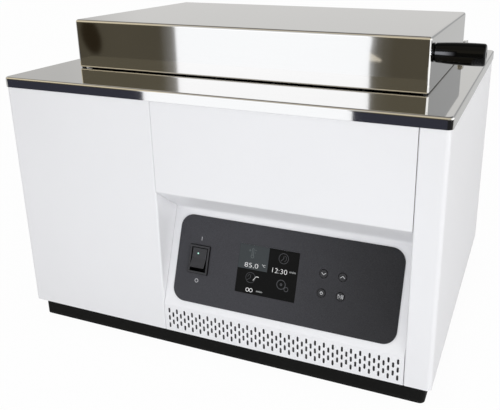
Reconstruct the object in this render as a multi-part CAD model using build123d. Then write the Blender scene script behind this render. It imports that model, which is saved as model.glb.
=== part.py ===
from build123d import *

import os
from math import atan2, cos, degrees, radians, sin, sqrt

# Laboratory water bath, in millimetres. X points right, the front faces -Y and Z points up.
# The origin lies on the bench, under the middle of the white housing.

# General clearances and stock
overrun = 1.0                    # how far a cut passes its piece
sheet = 1.2                      # powder-coated housing steel
stainless = 1.0                  # deck, tank and lid steel
running_gap = 0.05               # radial, round pins that turn
press_gap = 0.02                 # radial, round pins that stay
slack = 0.3                      # between moving or soft pieces

# Housing
body_width = 500.0
deck_height = 308.0
corner_radius = 5.0              # vertical folds of the housing
fold_radius = 1.0                # least inner radius of a fold
seam_gap = 0.3                   # open line between two panels
seam_radius = 2.0                # outer radius of the folds at the seams
flange_width = 12.0              # folded edges inside the housing
rear_return = 18.0               # side panels turn this far behind the back panel
front_right_width = 28.4         # front face right of the control insert
seam_return = 48.0               # depth of the folds that wall the control recess

# Plinth tray
plinth_height = 22.5
plinth_inset = 7.0
plinth_wall = 3.0
plinth_floor = 3.0
plinth_radius = 6.0

# Deck
deck_skirt = 11.5
skirt_gap = 0.2
deck_edge_radius = 2.5

# Control insert, in side view
grille_top = 56.4
brow_bottom = 194.4
recess_depth = 40.3
recess_top = 163.9
insert_depth = 56.0
bend_radius = 3.0
inner_bend_radius = 4.5          # between the soffit and the control face

# Grille
slot_length = 6.2
slot_width = 2.3
slot_margin = 6.05               # insert's side to the first column
slot_columns = 55
slot_rise = 9.65                 # between the slots of one column
slot_middle = 39.5               # height of the middle row

# Fascia
fascia_width = 260.0
fascia_height = 99.0
fascia_thick = 1.0
fascia_radius = 15.0
fascia_rise = 8.4                # from the lower bend to the fascia
fascia_left_margin = 10.0        # left seam to the fascia
fascia_right_margin = 10.6       # fascia to the right seam

# Display
window_width = 70.6
window_height = 53.5
window_from_left = 76.5          # fascia's left edge to the window
window_from_base = 22.7          # fascia's lower edge to the window
window_gap = 0.15
window_seat = 1.4                # rim of the housing sheet that carries the glass
display_margin = 7.0             # module beyond the window, each side
display_thick = 8.0

# Keys
key_radius = 4.5
key_proud = 0.7
key_gap = 0.3
key_flange = 1.2                 # retaining flange beyond the key's side
key_flange_thick = 0.8
key_play = 0.2
key_travel = 0.6
key_stem_radius = 1.5
key_stem = 0.4
key_edge = 0.5
key_pitch_x = 21.0
key_pitch_y = 20.5
key_from_left = 175.9            # fascia's left edge to the left keys
key_from_base = 38.9             # fascia's lower edge to the lower keys
tact_size = 6.0
tact_height = 2.4
tact_button_radius = 1.7
tact_button = 0.3
tact_gap = 0.12                  # left under a key that is pressed home
circuit_thick = 1.6
keypad_margin = 10.0             # keypad board beyond the key centres
keypad_post_radius = 2.0

# Controller board
controller_width = 120.0
controller_height = 84.0
controller_depth = 21.0          # board behind the sheet
controller_post_radius = 3.0
controller_post_inset = 5.0
chip_height = 2.0
chip_shares = (                  # of the board: across, up, and each chip's side
    (0.30, 0.30, 0.16),
    (0.62, 0.34, 0.12),
    (0.45, 0.68, 0.20),
)

# Rocker switch
bezel_width = 25.0
bezel_height = 32.6
bezel_proud = 2.0
bezel_edge = 0.8
switch_from_left = 28.3          # fascia's left edge to the switch's centre line
switch_from_base = 49.6          # fascia's lower edge to the switch's centre
switch_wall = 1.2
switch_depth = 20.0              # body behind the fascia's face
switch_fit = 0.25
rocker_width = 17.6
rocker_gap = 1.2                 # each side of the rocker, in the bezel's opening
rocker_end_gap = 1.0
rocker_arm = 11.1                # from the middle crease to each end
rocker_rise = 9.0                # from the pivot to the crease
rocker_throw = 20.0              # degrees between on and off
rocker_end = 8.0                 # height of the end faces
rocker_belly = 2.4               # below the pivot
rocker_sink = 0.6                # pressed end below the bezel's face
rocker_pin_radius = 1.5
rocker_pin = 0.8                 # in the body's wall, each side
lens_radius = 1.5
lens_proud = 0.3
lens_depth = 1.2
lens_from_axis_x = 1.6
lens_from_axis_y = 6.8
blade_width = 6.3
blade_thick = 0.8
blade_length = 8.0
blade_pitch = 7.0

# Tank
tank_length = 230.0
tank_side_room = 52.0            # housing's sides to the tank, on average
tank_front_room = 90.3           # housing's front to the tank
tank_rear_room = 76.7            # tank to the housing's back
tank_under_room = 132.0          # bench to the tank's floor
tank_shift_x = 3.7               # tank's centre right of the housing's
tank_radius = 22.0
tank_floor_radius = 8.0
tank_flange = 10.0

# Insulation
insulation_thick = 20.0
insulation_window = 18.0         # open margin round the glands

# Heater
heater_radius = 4.0
heater_pitch = 45.0              # between the legs of one loop
heater_spacing = 100.0           # between the two loops
heater_height = 20.0             # above the tank's floor
heater_end_gap = 30.0            # loop to the tank's left wall
heater_tail = 16.0               # outside the tank
gland_flats = 14.0
gland_thick = 6.0
terminal_radius = 1.5
terminal_length = 9.0

# Sensors
sensor_radius = 3.0
sensor_length = 90.0             # in the tank
sensor_tail = 14.0               # outside it
sensor_spacing = 176.0
sensor_gland_flats = 11.0

# Shelf in the tank
shelf_margin = 6.0
shelf_height = 36.0              # above the tank's floor
shelf_thick = 1.5
shelf_radius = 16.0
shelf_hole_radius = 5.0
shelf_hole_columns = 15
shelf_hole_rows = 9
shelf_border = 20.0              # from the shelf's edge to the first holes
shelf_leg_inset = 12.0
shelf_leg_thick = 1.5
shelf_leg_border = 12.0          # legs end this far from the shelf's ends

# Lid
lid_overlap = 13.5
lid_height = 56.6
lid_lift = 1.0                   # gap above the deck
lid_edge_radius = 3.3            # top edges and upright corners
lid_hem_radius = 1.8
lid_hem = 6.0
buffer_radius = 2.5
buffer_play = 0.1

# Handle
handle_setback = 15.1            # lid's front face to the handle's axis
handle_drop = 16.9               # lid's top to the handle's axis
handle_length = 50.4
handle_start_radius = 9.7
handle_end_radius = 11.0
handle_middle_share = 0.45
handle_middle_radius = 10.9
handle_edge = 2.6
handle_chamfer = 1.5
handle_neck_radius = 7.2
handle_neck = 0.3
collar_radius = 9.6
collar_thick = 0.9               # keeps the grip clear of the way through the lid's hole
handle_dimple_radius = 3.2
handle_dimple = 0.8
handle_screw_radius = 3.0
handle_screw_length = 28.0
handle_screw_head_radius = 5.0
handle_screw_head = 3.0

# Lid hinge
hinge_setback = 28.0             # lid's rear face to the pivot
hinge_height = 9.5               # pivot above the deck
hinge_arm_thick = 2.0
hinge_arm_radius = 6.2
hinge_heel = 8.7                 # square heel that meets the deck just past 95 degrees
hinge_arm_lap = 20.0             # on the lid's side wall
hinge_gap = 0.2
hinge_pin_radius = 2.5
hinge_head_radius = 4.0
hinge_head = 1.5
bracket_thick = 3.0
bracket_half_length = 9.0
bracket_foot = 16.0
bracket_foot_thick = 2.0
bracket_corner = 4.0
rivet_radius = 2.0
rivet_head_radius = 3.6
rivet_head = 1.2
rivet_pitch = 8.0
rivet_rise = 2.5                 # rivets above the pivot, clear of the lid's hem
bracket_screw_pitch = 9.0

# Screws of the housing
screw_radius = 1.95
screw_gap = 0.15
screw_head_radius = 3.6
screw_head = 2.0
screw_tail = 4.0
screw_rows = 4
screw_margin = 22.0

# Drain
pipe_radius = 7.0
pipe_bore_radius = 5.5
pipe_bend = 22.0
drain_left = 118.4               # drain's centre left of the tank's
drain_back = 56.2                # and behind it
drain_height = 62.0
pipe_collar_radius = 11.0
pipe_collar = 2.5
pipe_fit = 0.1
valve_neck_radius = 10.0
valve_radius = 14.0
valve_length = 30.0
valve_flange = 3.0
valve_flats = 28.0
nozzle_radius = 6.0
nozzle_length = 24.0
ball_radius = 8.5
ball_bore_radius = 4.5
stem_radius = 3.0
stem_proud = 9.0
valve_boss_radius = 6.5
valve_boss = 3.0
lever_length = 46.0
lever_width = 11.0
lever_thick = 2.5
lever_nut_flats = 8.0
lever_nut = 3.0
locknut_flats = 26.0
locknut_thick = 5.0

# Mains inlet
inlet_setback = 80.0             # housing's right side to the inlet's middle
inlet_height = 70.0
inlet_flange_width = 50.0
inlet_flange_height = 24.0
inlet_flange_thick = 2.5
inlet_flange_radius = 5.0
inlet_body_width = 28.0
inlet_body_height = 20.4
inlet_body_depth = 20.0
inlet_recess_width = 24.0
inlet_recess_height = 16.4
inlet_recess_depth = 17.0
inlet_screw_pitch = 40.0
inlet_fit = 0.3
inlet_pin_width = 2.0
inlet_pin_height = 4.0
inlet_pin_length = 14.0
inlet_pin_pitch = 7.0
inlet_pin_drop = 2.0
inlet_tab = 8.0

# Rear vents
vent_columns = 14
vent_pitch = 9.0
vent_width = 3.0
vent_length = 30.0
vent_height = 84.0
vent_middle_x = 20.0

# Power electronics on the tray
board_width = 150.0
board_length = 110.0
board_lift = 10.0
board_x = -95.0
board_y = -20.0
board_post_radius = 3.0
board_post_inset = 6.0
transformer_width = 52.0
transformer_length = 44.0
transformer_height = 36.0
capacitor_radius = 9.0
capacitor_height = 26.0
capacitor_pitch = 26.0
sink_width = 90.0
sink_length = 66.0
sink_x = 110.0
sink_y = 20.0
sink_base = 5.0
sink_fin_height = 22.0
sink_fin = 2.0
sink_fins = 9
relay_width = 45.0
relay_length = 58.0
relay_height = 23.0
relay_radius = 1.5

# Places worked out from the sizes above
body_depth = tank_front_room + tank_length + tank_rear_room
left = -body_width / 2
right = body_width / 2
front = -body_depth / 2
rear = body_depth / 2
deck_under = deck_height - stainless
seam_right = right - front_right_width
fascia_left = seam_right - fascia_right_margin - fascia_width
seam_left = fascia_left - fascia_left_margin
insert_left = seam_left + seam_gap
insert_right = seam_right - seam_gap
inlet_x = right - inlet_setback
tank_width = body_width - 2 * tank_side_room
tank_x = tank_shift_x
tank_y = front + tank_front_room + tank_length / 2
tank_floor = tank_under_room
tank_right = tank_x + tank_width / 2 + stainless
tank_left = tank_x - tank_width / 2 - stainless
tank_front = tank_y - tank_length / 2 - stainless
tank_rear = tank_y + tank_length / 2 + stainless
lid_width = tank_width + 2 * lid_overlap
lid_length = tank_length + 2 * lid_overlap
lid_bottom = deck_height + lid_lift
lid_top = lid_bottom + lid_height
lid_left = tank_x - lid_width / 2
lid_right = tank_x + lid_width / 2
lid_front = tank_y - lid_length / 2
lid_rear = tank_y + lid_length / 2
handle_y = lid_front + handle_setback
handle_z = lid_top - handle_drop
hinge_y = lid_rear + hinge_setback
hinge_z = deck_height + hinge_height
rivet_z = hinge_z + rivet_rise
heater_z = tank_floor + heater_height
drain_x = tank_x - drain_left
drain_y = tank_y + drain_back

# Frame of the sloping control face: X right, Y up the slope, Z out of the face
slope_rise = recess_top - grille_top
slope_angle = degrees(atan2(recess_depth, slope_rise))
slope_normal = (0, -cos(radians(slope_angle)), sin(radians(slope_angle)))
slope_plane = Plane(origin=(0, front, grille_top), x_dir=(1, 0, 0), z_dir=slope_normal)
fascia_x = fascia_left + fascia_width / 2
fascia_y = fascia_rise + fascia_height / 2
window_x = fascia_left + window_from_left + window_width / 2
window_y = fascia_rise + window_from_base + window_height / 2
switch_x = fascia_left + switch_from_left
switch_y = fascia_rise + switch_from_base
keys_x = fascia_left + key_from_left
keys_y = fascia_rise + key_from_base
key_places = {
    "key_down": (keys_x, keys_y + key_pitch_y),
    "key_up": (keys_x + key_pitch_x, keys_y + key_pitch_y),
    "key_select": (keys_x, keys_y),
    "key_start": (keys_x + key_pitch_x, keys_y),
}
key_back = -sheet - key_play - key_flange_thick
tact_top = key_back - key_stem - key_travel - tact_gap
keypad_face = tact_top - tact_button - tact_height
pivot_w = fascia_thick + bezel_proud - rocker_sink - rocker_rise * cos(radians(rocker_throw / 2))

pieces = {}
board_posts = []
tank_glands = []


def keep(name, shape):
    """Stores a piece under its node's name."""
    pieces[name] = shape


def block(x0, x1, y0, y1, z0, z1):
    """Box between two corners."""
    return Pos((x0 + x1) / 2, (y0 + y1) / 2, (z0 + z1) / 2) * Box(x1 - x0, y1 - y0, z1 - z0)


def prism(width, length, radius, x, y, z0, z1):
    """Upright block with rounded vertical corners."""
    return extrude(Pos(x, y, z0) * RectangleRounded(width, length, radius), amount=z1 - z0)


def rod_x(radius, x0, x1, y, z):
    """Round bar along X."""
    bar = Cylinder(radius, x1 - x0, align=(Align.CENTER, Align.CENTER, Align.MIN))
    return Pos(x0, y, z) * Rot(0, 90, 0) * bar


def rod_y(radius, y0, y1, x, z):
    """Round bar along Y."""
    bar = Cylinder(radius, y1 - y0, align=(Align.CENTER, Align.CENTER, Align.MIN))
    return Pos(x, y0, z) * Rot(-90, 0, 0) * bar


def rod_z(radius, x, y, z0, z1):
    """Round bar along Z."""
    bar = Cylinder(radius, z1 - z0, align=(Align.CENTER, Align.CENTER, Align.MIN))
    return Pos(x, y, z0) * bar


def hexagon(flats, thick):
    """Upright hexagonal block on the origin."""
    outline = RegularPolygon(radius=flats / 2, side_count=6, major_radius=False)
    return extrude(outline, amount=thick)


def on_slope(shape):
    """Carries a shape from the slope's own frame to its place."""
    return slope_plane.location * shape


def housing_band(inset, depth):
    """Plan of a band that follows the inside of the housing, depth wide and inset from its face."""
    length = body_depth - sheet
    middle = -sheet / 2
    outer_radius = max(corner_radius - inset, fold_radius)
    inner_radius = max(corner_radius - inset - depth, fold_radius)
    outer = RectangleRounded(body_width - 2 * inset, length - 2 * inset, outer_radius)
    inner_width = body_width - 2 * inset - 2 * depth
    inner = RectangleRounded(inner_width, length - 2 * inset - 2 * depth, inner_radius)
    return Pos(0, middle) * (outer - inner)


def plan_mask(x0, x1, y0, y1):
    """Plan rectangle between two corners."""
    return Pos((x0 + x1) / 2, (y0 + y1) / 2) * Rectangle(x1 - x0, y1 - y0)


def round_seam(plan, seam_x):
    """Rounds the outer corner that a side panel's plan has at its seam."""
    corner = plan.vertices().sort_by_distance((seam_x, front, 0))[0]
    return fillet(corner, radius=seam_radius)


def side_panel(outer_x, seam_x):
    """One side panel with its front face, rear return, folded rims and the fold at the seam."""
    side = 1 if outer_x > 0 else -1
    back_x = outer_x - side * rear_return
    fold_x = seam_x + side * sheet
    front_mask = plan_mask(min(outer_x, seam_x), max(outer_x, seam_x), front, 0)
    back_mask = plan_mask(min(outer_x, back_x), max(outer_x, back_x), front, rear)
    mask = front_mask + back_mask
    fold = plan_mask(min(seam_x, fold_x), max(seam_x, fold_x), front, front + seam_return)
    wall = round_seam((housing_band(0, sheet) & mask) + fold, seam_x)
    rim = round_seam(housing_band(0, flange_width) & mask, seam_x)
    panel = extrude(Pos(0, 0, plinth_height) * wall, amount=deck_under - plinth_height)
    panel += extrude(Pos(0, 0, plinth_height) * rim, amount=sheet)
    panel += extrude(Pos(0, 0, deck_under - sheet) * rim, amount=sheet)
    for z in screw_heights():
        hole_x = outer_x - side * (corner_radius + (rear_return - corner_radius) / 2)
        panel -= rod_y(screw_radius + screw_gap, rear - 2 * sheet - overrun, rear, hole_x, z)
    return panel


def screw_heights():
    """Heights of the screws up each side of the back panel."""
    low = plinth_height + screw_margin
    high = deck_under - deck_skirt - screw_margin
    return [low + (high - low) * row / (screw_rows - 1) for row in range(screw_rows)]


def screw_places():
    """Places of the back panel's screws."""
    offset = body_width / 2 - corner_radius - (rear_return - corner_radius) / 2
    return [(side * offset, z) for side in (-1, 1) for z in screw_heights()]


def make_plinth():
    """Black tray on which the housing stands, closed below."""
    width = body_width - 2 * plinth_inset
    length = body_depth - 2 * plinth_inset
    tray = prism(width, length, plinth_radius, 0, 0, 0, plinth_height)
    hollow_width = width - 2 * plinth_wall
    hollow_length = length - 2 * plinth_wall
    hollow_radius = plinth_radius - plinth_wall
    top = plinth_height + overrun
    keep("plinth", tray - prism(hollow_width, hollow_length, hollow_radius, 0, 0, plinth_floor, top))


def make_side_panels():
    """Folded left and right panels."""
    keep("left_panel", side_panel(left, seam_left))
    keep("right_panel", side_panel(right, seam_right))


def make_rear_panel():
    """Flat back panel with its vents and the holes for the inlet, the drain and the screws."""
    x0 = left + corner_radius
    x1 = right - corner_radius
    panel = block(x0, x1, rear - sheet, rear, plinth_height, deck_under - slack)
    y0 = rear - sheet - overrun
    y1 = rear + overrun
    for x, z in screw_places():
        panel -= rod_y(screw_radius + screw_gap, y0, y1, x, z)
    panel -= rod_y(valve_neck_radius + pipe_fit, y0, y1, drain_x, drain_height)
    half_width = inlet_body_width / 2 + inlet_fit
    half_height = inlet_body_height / 2 + inlet_fit
    panel -= block(inlet_x - half_width, inlet_x + half_width, y0, y1,
                   inlet_height - half_height, inlet_height + half_height)
    for side in (-1, 1):
        x = inlet_x + side * inlet_screw_pitch / 2
        panel -= rod_y(screw_radius + screw_gap, y0, y1, x, inlet_height)
    face = Plane(origin=(0, y1, 0), x_dir=(1, 0, 0), z_dir=(0, -1, 0))
    vents = Sketch()
    for column in range(vent_columns):
        x = vent_middle_x + (column - (vent_columns - 1) / 2) * vent_pitch
        vents += Pos(x, vent_height) * SlotOverall(vent_length, vent_width, rotation=90)
    panel -= extrude(face * vents, amount=sheet + 2 * overrun)
    keep("rear_panel", panel)


def make_screws():
    """Pan-head screws of the back panel and of the mains inlet, as separate solids."""
    screws = []
    for x, z in screw_places():
        screw = rod_y(screw_head_radius, rear, rear + screw_head, x, z)
        screw += rod_y(screw_radius, rear - 2 * sheet - screw_tail, rear, x, z)
        screws.append(screw)
    seat = rear + inlet_flange_thick
    for side in (-1, 1):
        x = inlet_x + side * inlet_screw_pitch / 2
        screw = rod_y(screw_head_radius, seat, seat + screw_head, x, inlet_height)
        screw += rod_y(screw_radius, rear - sheet - screw_tail, seat, x, inlet_height)
        screws.append(screw)
    keep("rear_screws", Compound(children=screws))


def insert_outline():
    """Side view of the control insert, with soft bends."""
    points = [
        (front, plinth_height),
        (front, grille_top),
        (front + recess_depth, recess_top),
        (front, brow_bottom),
        (front, deck_under),
        (front + insert_depth, deck_under),
        (front + insert_depth, plinth_height),
    ]
    outline = Polygon(*points, align=None)
    for bend, radius in zip(points[1:4], (bend_radius, inner_bend_radius, bend_radius)):
        corner = outline.vertices().sort_by_distance((*bend, 0))[0]
        outline = fillet(corner, radius=radius)
    return outline


def grille_slots():
    """Slots of the grille, three and two to a column by turns."""
    slots = Sketch()
    span = insert_right - insert_left - 2 * slot_margin
    for column in range(slot_columns):
        x = insert_left + slot_margin + span * column / (slot_columns - 1)
        rows = 2 + (column + 1) % 2
        for row in range(rows):
            z = slot_middle + (row - (rows - 1) / 2) * slot_rise
            slots += Pos(x, z) * SlotOverall(slot_length, slot_width, rotation=90)
    return slots


def make_front_insert():
    """Folded front sheet with the brow, the soffit, the sloping control face and the grille."""
    outline = insert_outline()
    sheet_outline = outline - offset(outline, amount=-sheet)
    back = front + insert_depth - sheet
    height = deck_under - plinth_height
    middle = plinth_height + height / 2
    open_back = Pos(back + insert_depth / 2, middle) * Rectangle(insert_depth, height + 2 * overrun)
    sheet_outline -= open_back
    width = insert_right - insert_left
    insert = extrude(Plane.YZ.offset(insert_left) * sheet_outline, amount=width, dir=(1, 0, 0))
    face = Plane(origin=(0, front + sheet + overrun, 0), x_dir=(1, 0, 0), z_dir=(0, -1, 0))
    insert -= extrude(face * grille_slots(), amount=sheet + 2 * overrun)
    z0 = -sheet - overrun
    insert -= on_slope(prism(window_width - 2 * window_seat, window_height - 2 * window_seat,
                             window_seat, window_x, window_y, z0, overrun))
    insert -= on_slope(switch_hole(z0, overrun))
    for x, y in key_places.values():
        insert -= on_slope(rod_z(key_radius + key_gap, x, y, z0, overrun))
    keep("front_insert", insert)


def switch_opening():
    """Length of the opening in which the rocker swings."""
    crease = rocker_rise * sin(radians(rocker_throw / 2))
    return 2 * (rocker_arm + crease + rocker_end_gap)


def switch_hole(z0, z1):
    """Cut for the switch's body through the fascia or the sheet behind it."""
    half_width = rocker_width / 2 + rocker_gap + switch_wall + switch_fit
    half_height = switch_opening() / 2 + switch_wall + switch_fit
    return block(switch_x - half_width, switch_x + half_width,
                 switch_y - half_height, switch_y + half_height, z0, z1)


def make_fascia():
    """Dark cover plate of the control face with openings for the window, the switch and the keys."""
    plate = prism(fascia_width, fascia_height, fascia_radius, fascia_x, fascia_y, 0, fascia_thick)
    top = fascia_thick + overrun
    plate -= block(window_x - window_width / 2 - window_gap, window_x + window_width / 2 + window_gap,
                   window_y - window_height / 2 - window_gap, window_y + window_height / 2 + window_gap,
                   -overrun, top)
    plate -= switch_hole(-overrun, top)
    for x, y in key_places.values():
        plate -= rod_z(key_radius + key_gap, x, y, -overrun, top)
    keep("fascia", on_slope(plate))


def make_display():
    """Glass pane of the display and the module behind it."""
    x0 = window_x - window_width / 2
    y0 = window_y - window_height / 2
    pane = block(x0, x0 + window_width, y0, y0 + window_height, 0, fascia_thick)
    keep("display_window", on_slope(pane))
    module = block(x0 - display_margin, x0 + window_width + display_margin,
                   y0 - display_margin, y0 + window_height + display_margin,
                   -sheet - display_thick, -sheet)
    keep("display_module", on_slope(module))


def make_keys():
    """Four round keys, their switches and the keypad board on its posts."""
    for name, (x, y) in key_places.items():
        cap = rod_z(key_radius, x, y, key_back, fascia_thick + key_proud)
        cap = fillet(cap.edges().sort_by(Axis.Z)[-1], radius=key_edge)
        cap += rod_z(key_radius + key_flange, x, y, key_back, key_back + key_flange_thick)
        cap += rod_z(key_stem_radius, x, y, key_back - key_stem, key_back)
        keep(name, on_slope(cap))
    switches = []
    for x, y in key_places.values():
        half = tact_size / 2
        body = block(x - half, x + half, y - half, y + half, keypad_face, keypad_face + tact_height)
        body += rod_z(tact_button_radius, x, y, keypad_face + tact_height, tact_top)
        switches.append(body)
    keep("key_switches", on_slope(Compound(children=switches)))
    x0 = keys_x - keypad_margin
    x1 = keys_x + key_pitch_x + keypad_margin
    y0 = keys_y - keypad_margin
    y1 = keys_y + key_pitch_y + keypad_margin
    board = block(x0, x1, y0, y1, keypad_face - circuit_thick, keypad_face)
    keep("keypad_board", on_slope(board))
    reach = keypad_post_radius + slack
    for x in (x0 + reach, x1 - reach):
        for y in (y0 + reach, y1 - reach):
            board_posts.append(on_slope(rod_z(keypad_post_radius, x, y, keypad_face, -sheet)))


def make_controller():
    """Controller board behind the display, its chips and its four posts."""
    x0 = window_x - controller_width / 2
    x1 = window_x + controller_width / 2
    y0 = fascia_y - controller_height / 2
    y1 = fascia_y + controller_height / 2
    back = -sheet - controller_depth
    board = block(x0, x1, y0, y1, back, back + circuit_thick)
    keep("controller_board", on_slope(board))
    inset = controller_post_inset
    for x in (x0 + inset, x1 - inset):
        for y in (y0 + inset, y1 - inset):
            post = rod_z(controller_post_radius, x, y, back + circuit_thick, -sheet)
            board_posts.append(on_slope(post))
    chips = []
    for across, up, side in chip_shares:
        x = x0 + controller_width * across
        y = y0 + controller_height * up
        half = controller_width * side / 2
        chips.append(block(x - half, x + half, y - half, y + half, back - chip_height, back))
    keep("controller_chips", on_slope(Compound(children=chips)))


def make_switch():
    """Rocker switch: bezel and body, terminals, rocker and its lens."""
    opening_width = rocker_width + 2 * rocker_gap
    opening_height = switch_opening()
    case_width = opening_width + 2 * switch_wall
    case_height = opening_height + 2 * switch_wall
    top = fascia_thick + bezel_proud
    body = block(switch_x - bezel_width / 2, switch_x + bezel_width / 2,
                 switch_y - bezel_height / 2, switch_y + bezel_height / 2, fascia_thick, top)
    body = fillet(body.faces().sort_by(Axis.Z)[-1].edges(), radius=bezel_edge)
    body += block(switch_x - case_width / 2, switch_x + case_width / 2,
                  switch_y - case_height / 2, switch_y + case_height / 2,
                  fascia_thick - switch_depth, fascia_thick)
    floor = pivot_w - rocker_belly - switch_wall
    body -= block(switch_x - opening_width / 2, switch_x + opening_width / 2,
                  switch_y - opening_height / 2, switch_y + opening_height / 2, floor, top + overrun)
    pin_half = opening_width / 2 + rocker_pin
    hole_half = pin_half + press_gap
    body -= rod_x(rocker_pin_radius + running_gap, switch_x - hole_half, switch_x + hole_half,
                  switch_y, pivot_w)
    keep("switch_body", on_slope(body))

    throw = radians(rocker_throw)
    crease = (rocker_rise * sin(throw / 2), rocker_rise * cos(throw / 2))
    upper = (crease[0] + rocker_arm, crease[1])
    lower = (crease[0] - rocker_arm * cos(throw), crease[1] + rocker_arm * sin(throw))
    upper_foot = (upper[0], upper[1] - rocker_end)
    lower_foot = (lower[0] - rocker_end * sin(throw), lower[1] - rocker_end * cos(throw))
    points = [upper, crease, lower, lower_foot, (0, -rocker_belly), upper_foot]
    profile = Polygon(*points, align=None)
    profile = Plane.YZ.offset(-rocker_width / 2) * profile
    rocker = extrude(profile, amount=rocker_width, dir=(1, 0, 0))
    rocker += rod_x(rocker_pin_radius, -pin_half, pin_half, 0, 0)
    lens_seat = crease[1] - lens_depth
    rocker -= rod_z(lens_radius + press_gap, -lens_from_axis_x, lens_from_axis_y,
                    lens_seat, upper[1] + overrun)
    lens = rod_z(lens_radius, -lens_from_axis_x, lens_from_axis_y, lens_seat, upper[1] + lens_proud)
    place = Pos(switch_x, switch_y, pivot_w)
    keep("rocker", on_slope(place * rocker))
    keep("rocker_lens", on_slope(place * lens))

    blades = []
    back = fascia_thick - switch_depth
    for column in (-1, 1):
        for row in (-1, 1):
            x = switch_x + column * blade_pitch / 2
            y = switch_y + row * blade_pitch
            blades.append(block(x - blade_thick / 2, x + blade_thick / 2, y - blade_width / 2,
                                y + blade_width / 2, back - blade_length, back))
    keep("switch_terminals", on_slope(Compound(children=blades)))


def make_deck():
    """Stainless deck with its skirt and the tank's opening."""
    reach = 2 * (skirt_gap + stainless)
    radius = corner_radius + skirt_gap + stainless
    z0 = deck_height - deck_skirt
    outer = prism(body_width + reach, body_depth + reach, radius, 0, 0, z0, deck_height)
    outer = fillet(outer.faces().sort_by(Axis.Z)[-1].edges(), radius=deck_edge_radius)
    inner_reach = 2 * skirt_gap
    inner = prism(body_width + inner_reach, body_depth + inner_reach, corner_radius + skirt_gap,
                  0, 0, z0 - overrun, deck_under)
    deck = outer - inner
    deck -= prism(tank_width, tank_length, tank_radius, tank_x, tank_y, z0, deck_height + overrun)
    for x, y in bracket_screw_places():
        deck -= rod_z(screw_radius + screw_gap, x, y, z0, deck_height + overrun)
    keep("deck", deck)


def make_tank():
    """Drawn tank with a flange under the deck and holes for the heater, the sensors and the drain."""
    tank = prism(tank_width + 2 * stainless, tank_length + 2 * stainless, tank_radius + stainless,
                 tank_x, tank_y, tank_floor - stainless, deck_under)
    tank = fillet(tank.faces().sort_by(Axis.Z)[0].edges(), radius=tank_floor_radius + stainless)
    reach = 2 * (stainless + tank_flange)
    tank += prism(tank_width + reach, tank_length + reach, tank_radius + stainless + tank_flange,
                  tank_x, tank_y, deck_under - stainless, deck_under)
    hollow = prism(tank_width, tank_length, tank_radius, tank_x, tank_y, tank_floor,
                   deck_height + overrun)
    hollow = fillet(hollow.faces().sort_by(Axis.Z)[0].edges(), radius=tank_floor_radius)
    tank -= hollow
    wall_x0 = tank_right - stainless - overrun
    wall_x1 = tank_right + overrun
    for y in heater_leg_places():
        tank -= rod_x(heater_radius + pipe_fit, wall_x0, wall_x1, y, heater_z)
    for y in sensor_places():
        tank -= rod_x(sensor_radius + pipe_fit, wall_x0, wall_x1, y, heater_z)
    tank -= rod_z(pipe_radius + pipe_fit, drain_x, drain_y, tank_floor - stainless - overrun,
                  tank_floor + overrun)
    keep("tank", tank)


def heater_loop_places():
    """Middles of the two heater loops."""
    return [tank_y + side * heater_spacing / 2 for side in (-1, 1)]


def heater_leg_places():
    """Middles of the heater's four legs."""
    return [y + side * heater_pitch / 2 for y in heater_loop_places() for side in (-1, 1)]


def sensor_places():
    """Middles of the temperature probe and of the over-temperature sensor."""
    return [tank_y + side * sensor_spacing / 2 for side in (-1, 1)]


def wall_gland(y, flats, bore_radius):
    """Hexagonal gland outside the tank's right wall."""
    gland = Pos(tank_right, y, heater_z) * Rot(0, 90, 0) * hexagon(flats, gland_thick)
    x1 = tank_right + gland_thick + overrun
    return gland - rod_x(bore_radius + pipe_fit, tank_right - overrun, x1, y, heater_z)


def make_heater():
    """Two tubular heater loops with their glands and terminals."""
    bend_x = tank_left + stainless + heater_end_gap + heater_radius + heater_pitch / 2
    end_x = tank_right + heater_tail
    for name, middle in zip(("heater_front", "heater_rear"), heater_loop_places()):
        bend = Torus(heater_pitch / 2, heater_radius)
        reach = heater_pitch / 2 + 2 * heater_radius
        half = block(-reach, 0, -reach, reach, -reach, reach)
        loop = Pos(bend_x, middle, heater_z) * (bend & half)
        for side in (-1, 1):
            loop += rod_x(heater_radius, bend_x, end_x, middle + side * heater_pitch / 2, heater_z)
        keep(name, loop)
    terminals = []
    for y in heater_leg_places():
        tank_glands.append(wall_gland(y, gland_flats, heater_radius))
        terminals.append(rod_x(terminal_radius, end_x, end_x + terminal_length, y, heater_z))
    keep("heater_terminals", Compound(children=terminals))


def make_sensors():
    """Temperature probe and over-temperature sensor with their glands."""
    for name, y in zip(("temperature_probe", "cutout_sensor"), sensor_places()):
        keep(name, rod_x(sensor_radius, tank_right - sensor_length, tank_right + sensor_tail, y, heater_z))
        tank_glands.append(wall_gland(y, sensor_gland_flats, sensor_radius))


def make_insulation():
    """Mineral wool boards round the tank."""
    top = deck_under - stainless - slack
    low = tank_floor - stainless - slack
    base = low - insulation_thick
    x0 = tank_left - slack
    x1 = tank_right + slack
    y0 = tank_front - slack
    y1 = tank_rear + slack
    thick = insulation_thick
    bottom = block(x0, x1, y0, y1, base, low)
    hole = pipe_collar_radius + slack
    bottom -= rod_z(hole, drain_x, drain_y, base - overrun, low + overrun)
    right_board = block(x1, x1 + thick, y0, y1, base, top)
    window_half = sensor_spacing / 2 + insulation_window / 2
    right_board -= block(x1 - overrun, x1 + thick + overrun, tank_y - window_half, tank_y + window_half,
                         heater_z - insulation_window, heater_z + insulation_window)
    boards = [
        bottom,
        right_board,
        block(x0 - thick, x0, y0, y1, base, top),
        block(x0 - thick, x1 + thick, y0 - thick, y0, base, top),
        block(x0 - thick, x1 + thick, y1, y1 + thick, base, top),
    ]
    keep("insulation", Compound(children=boards))


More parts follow.
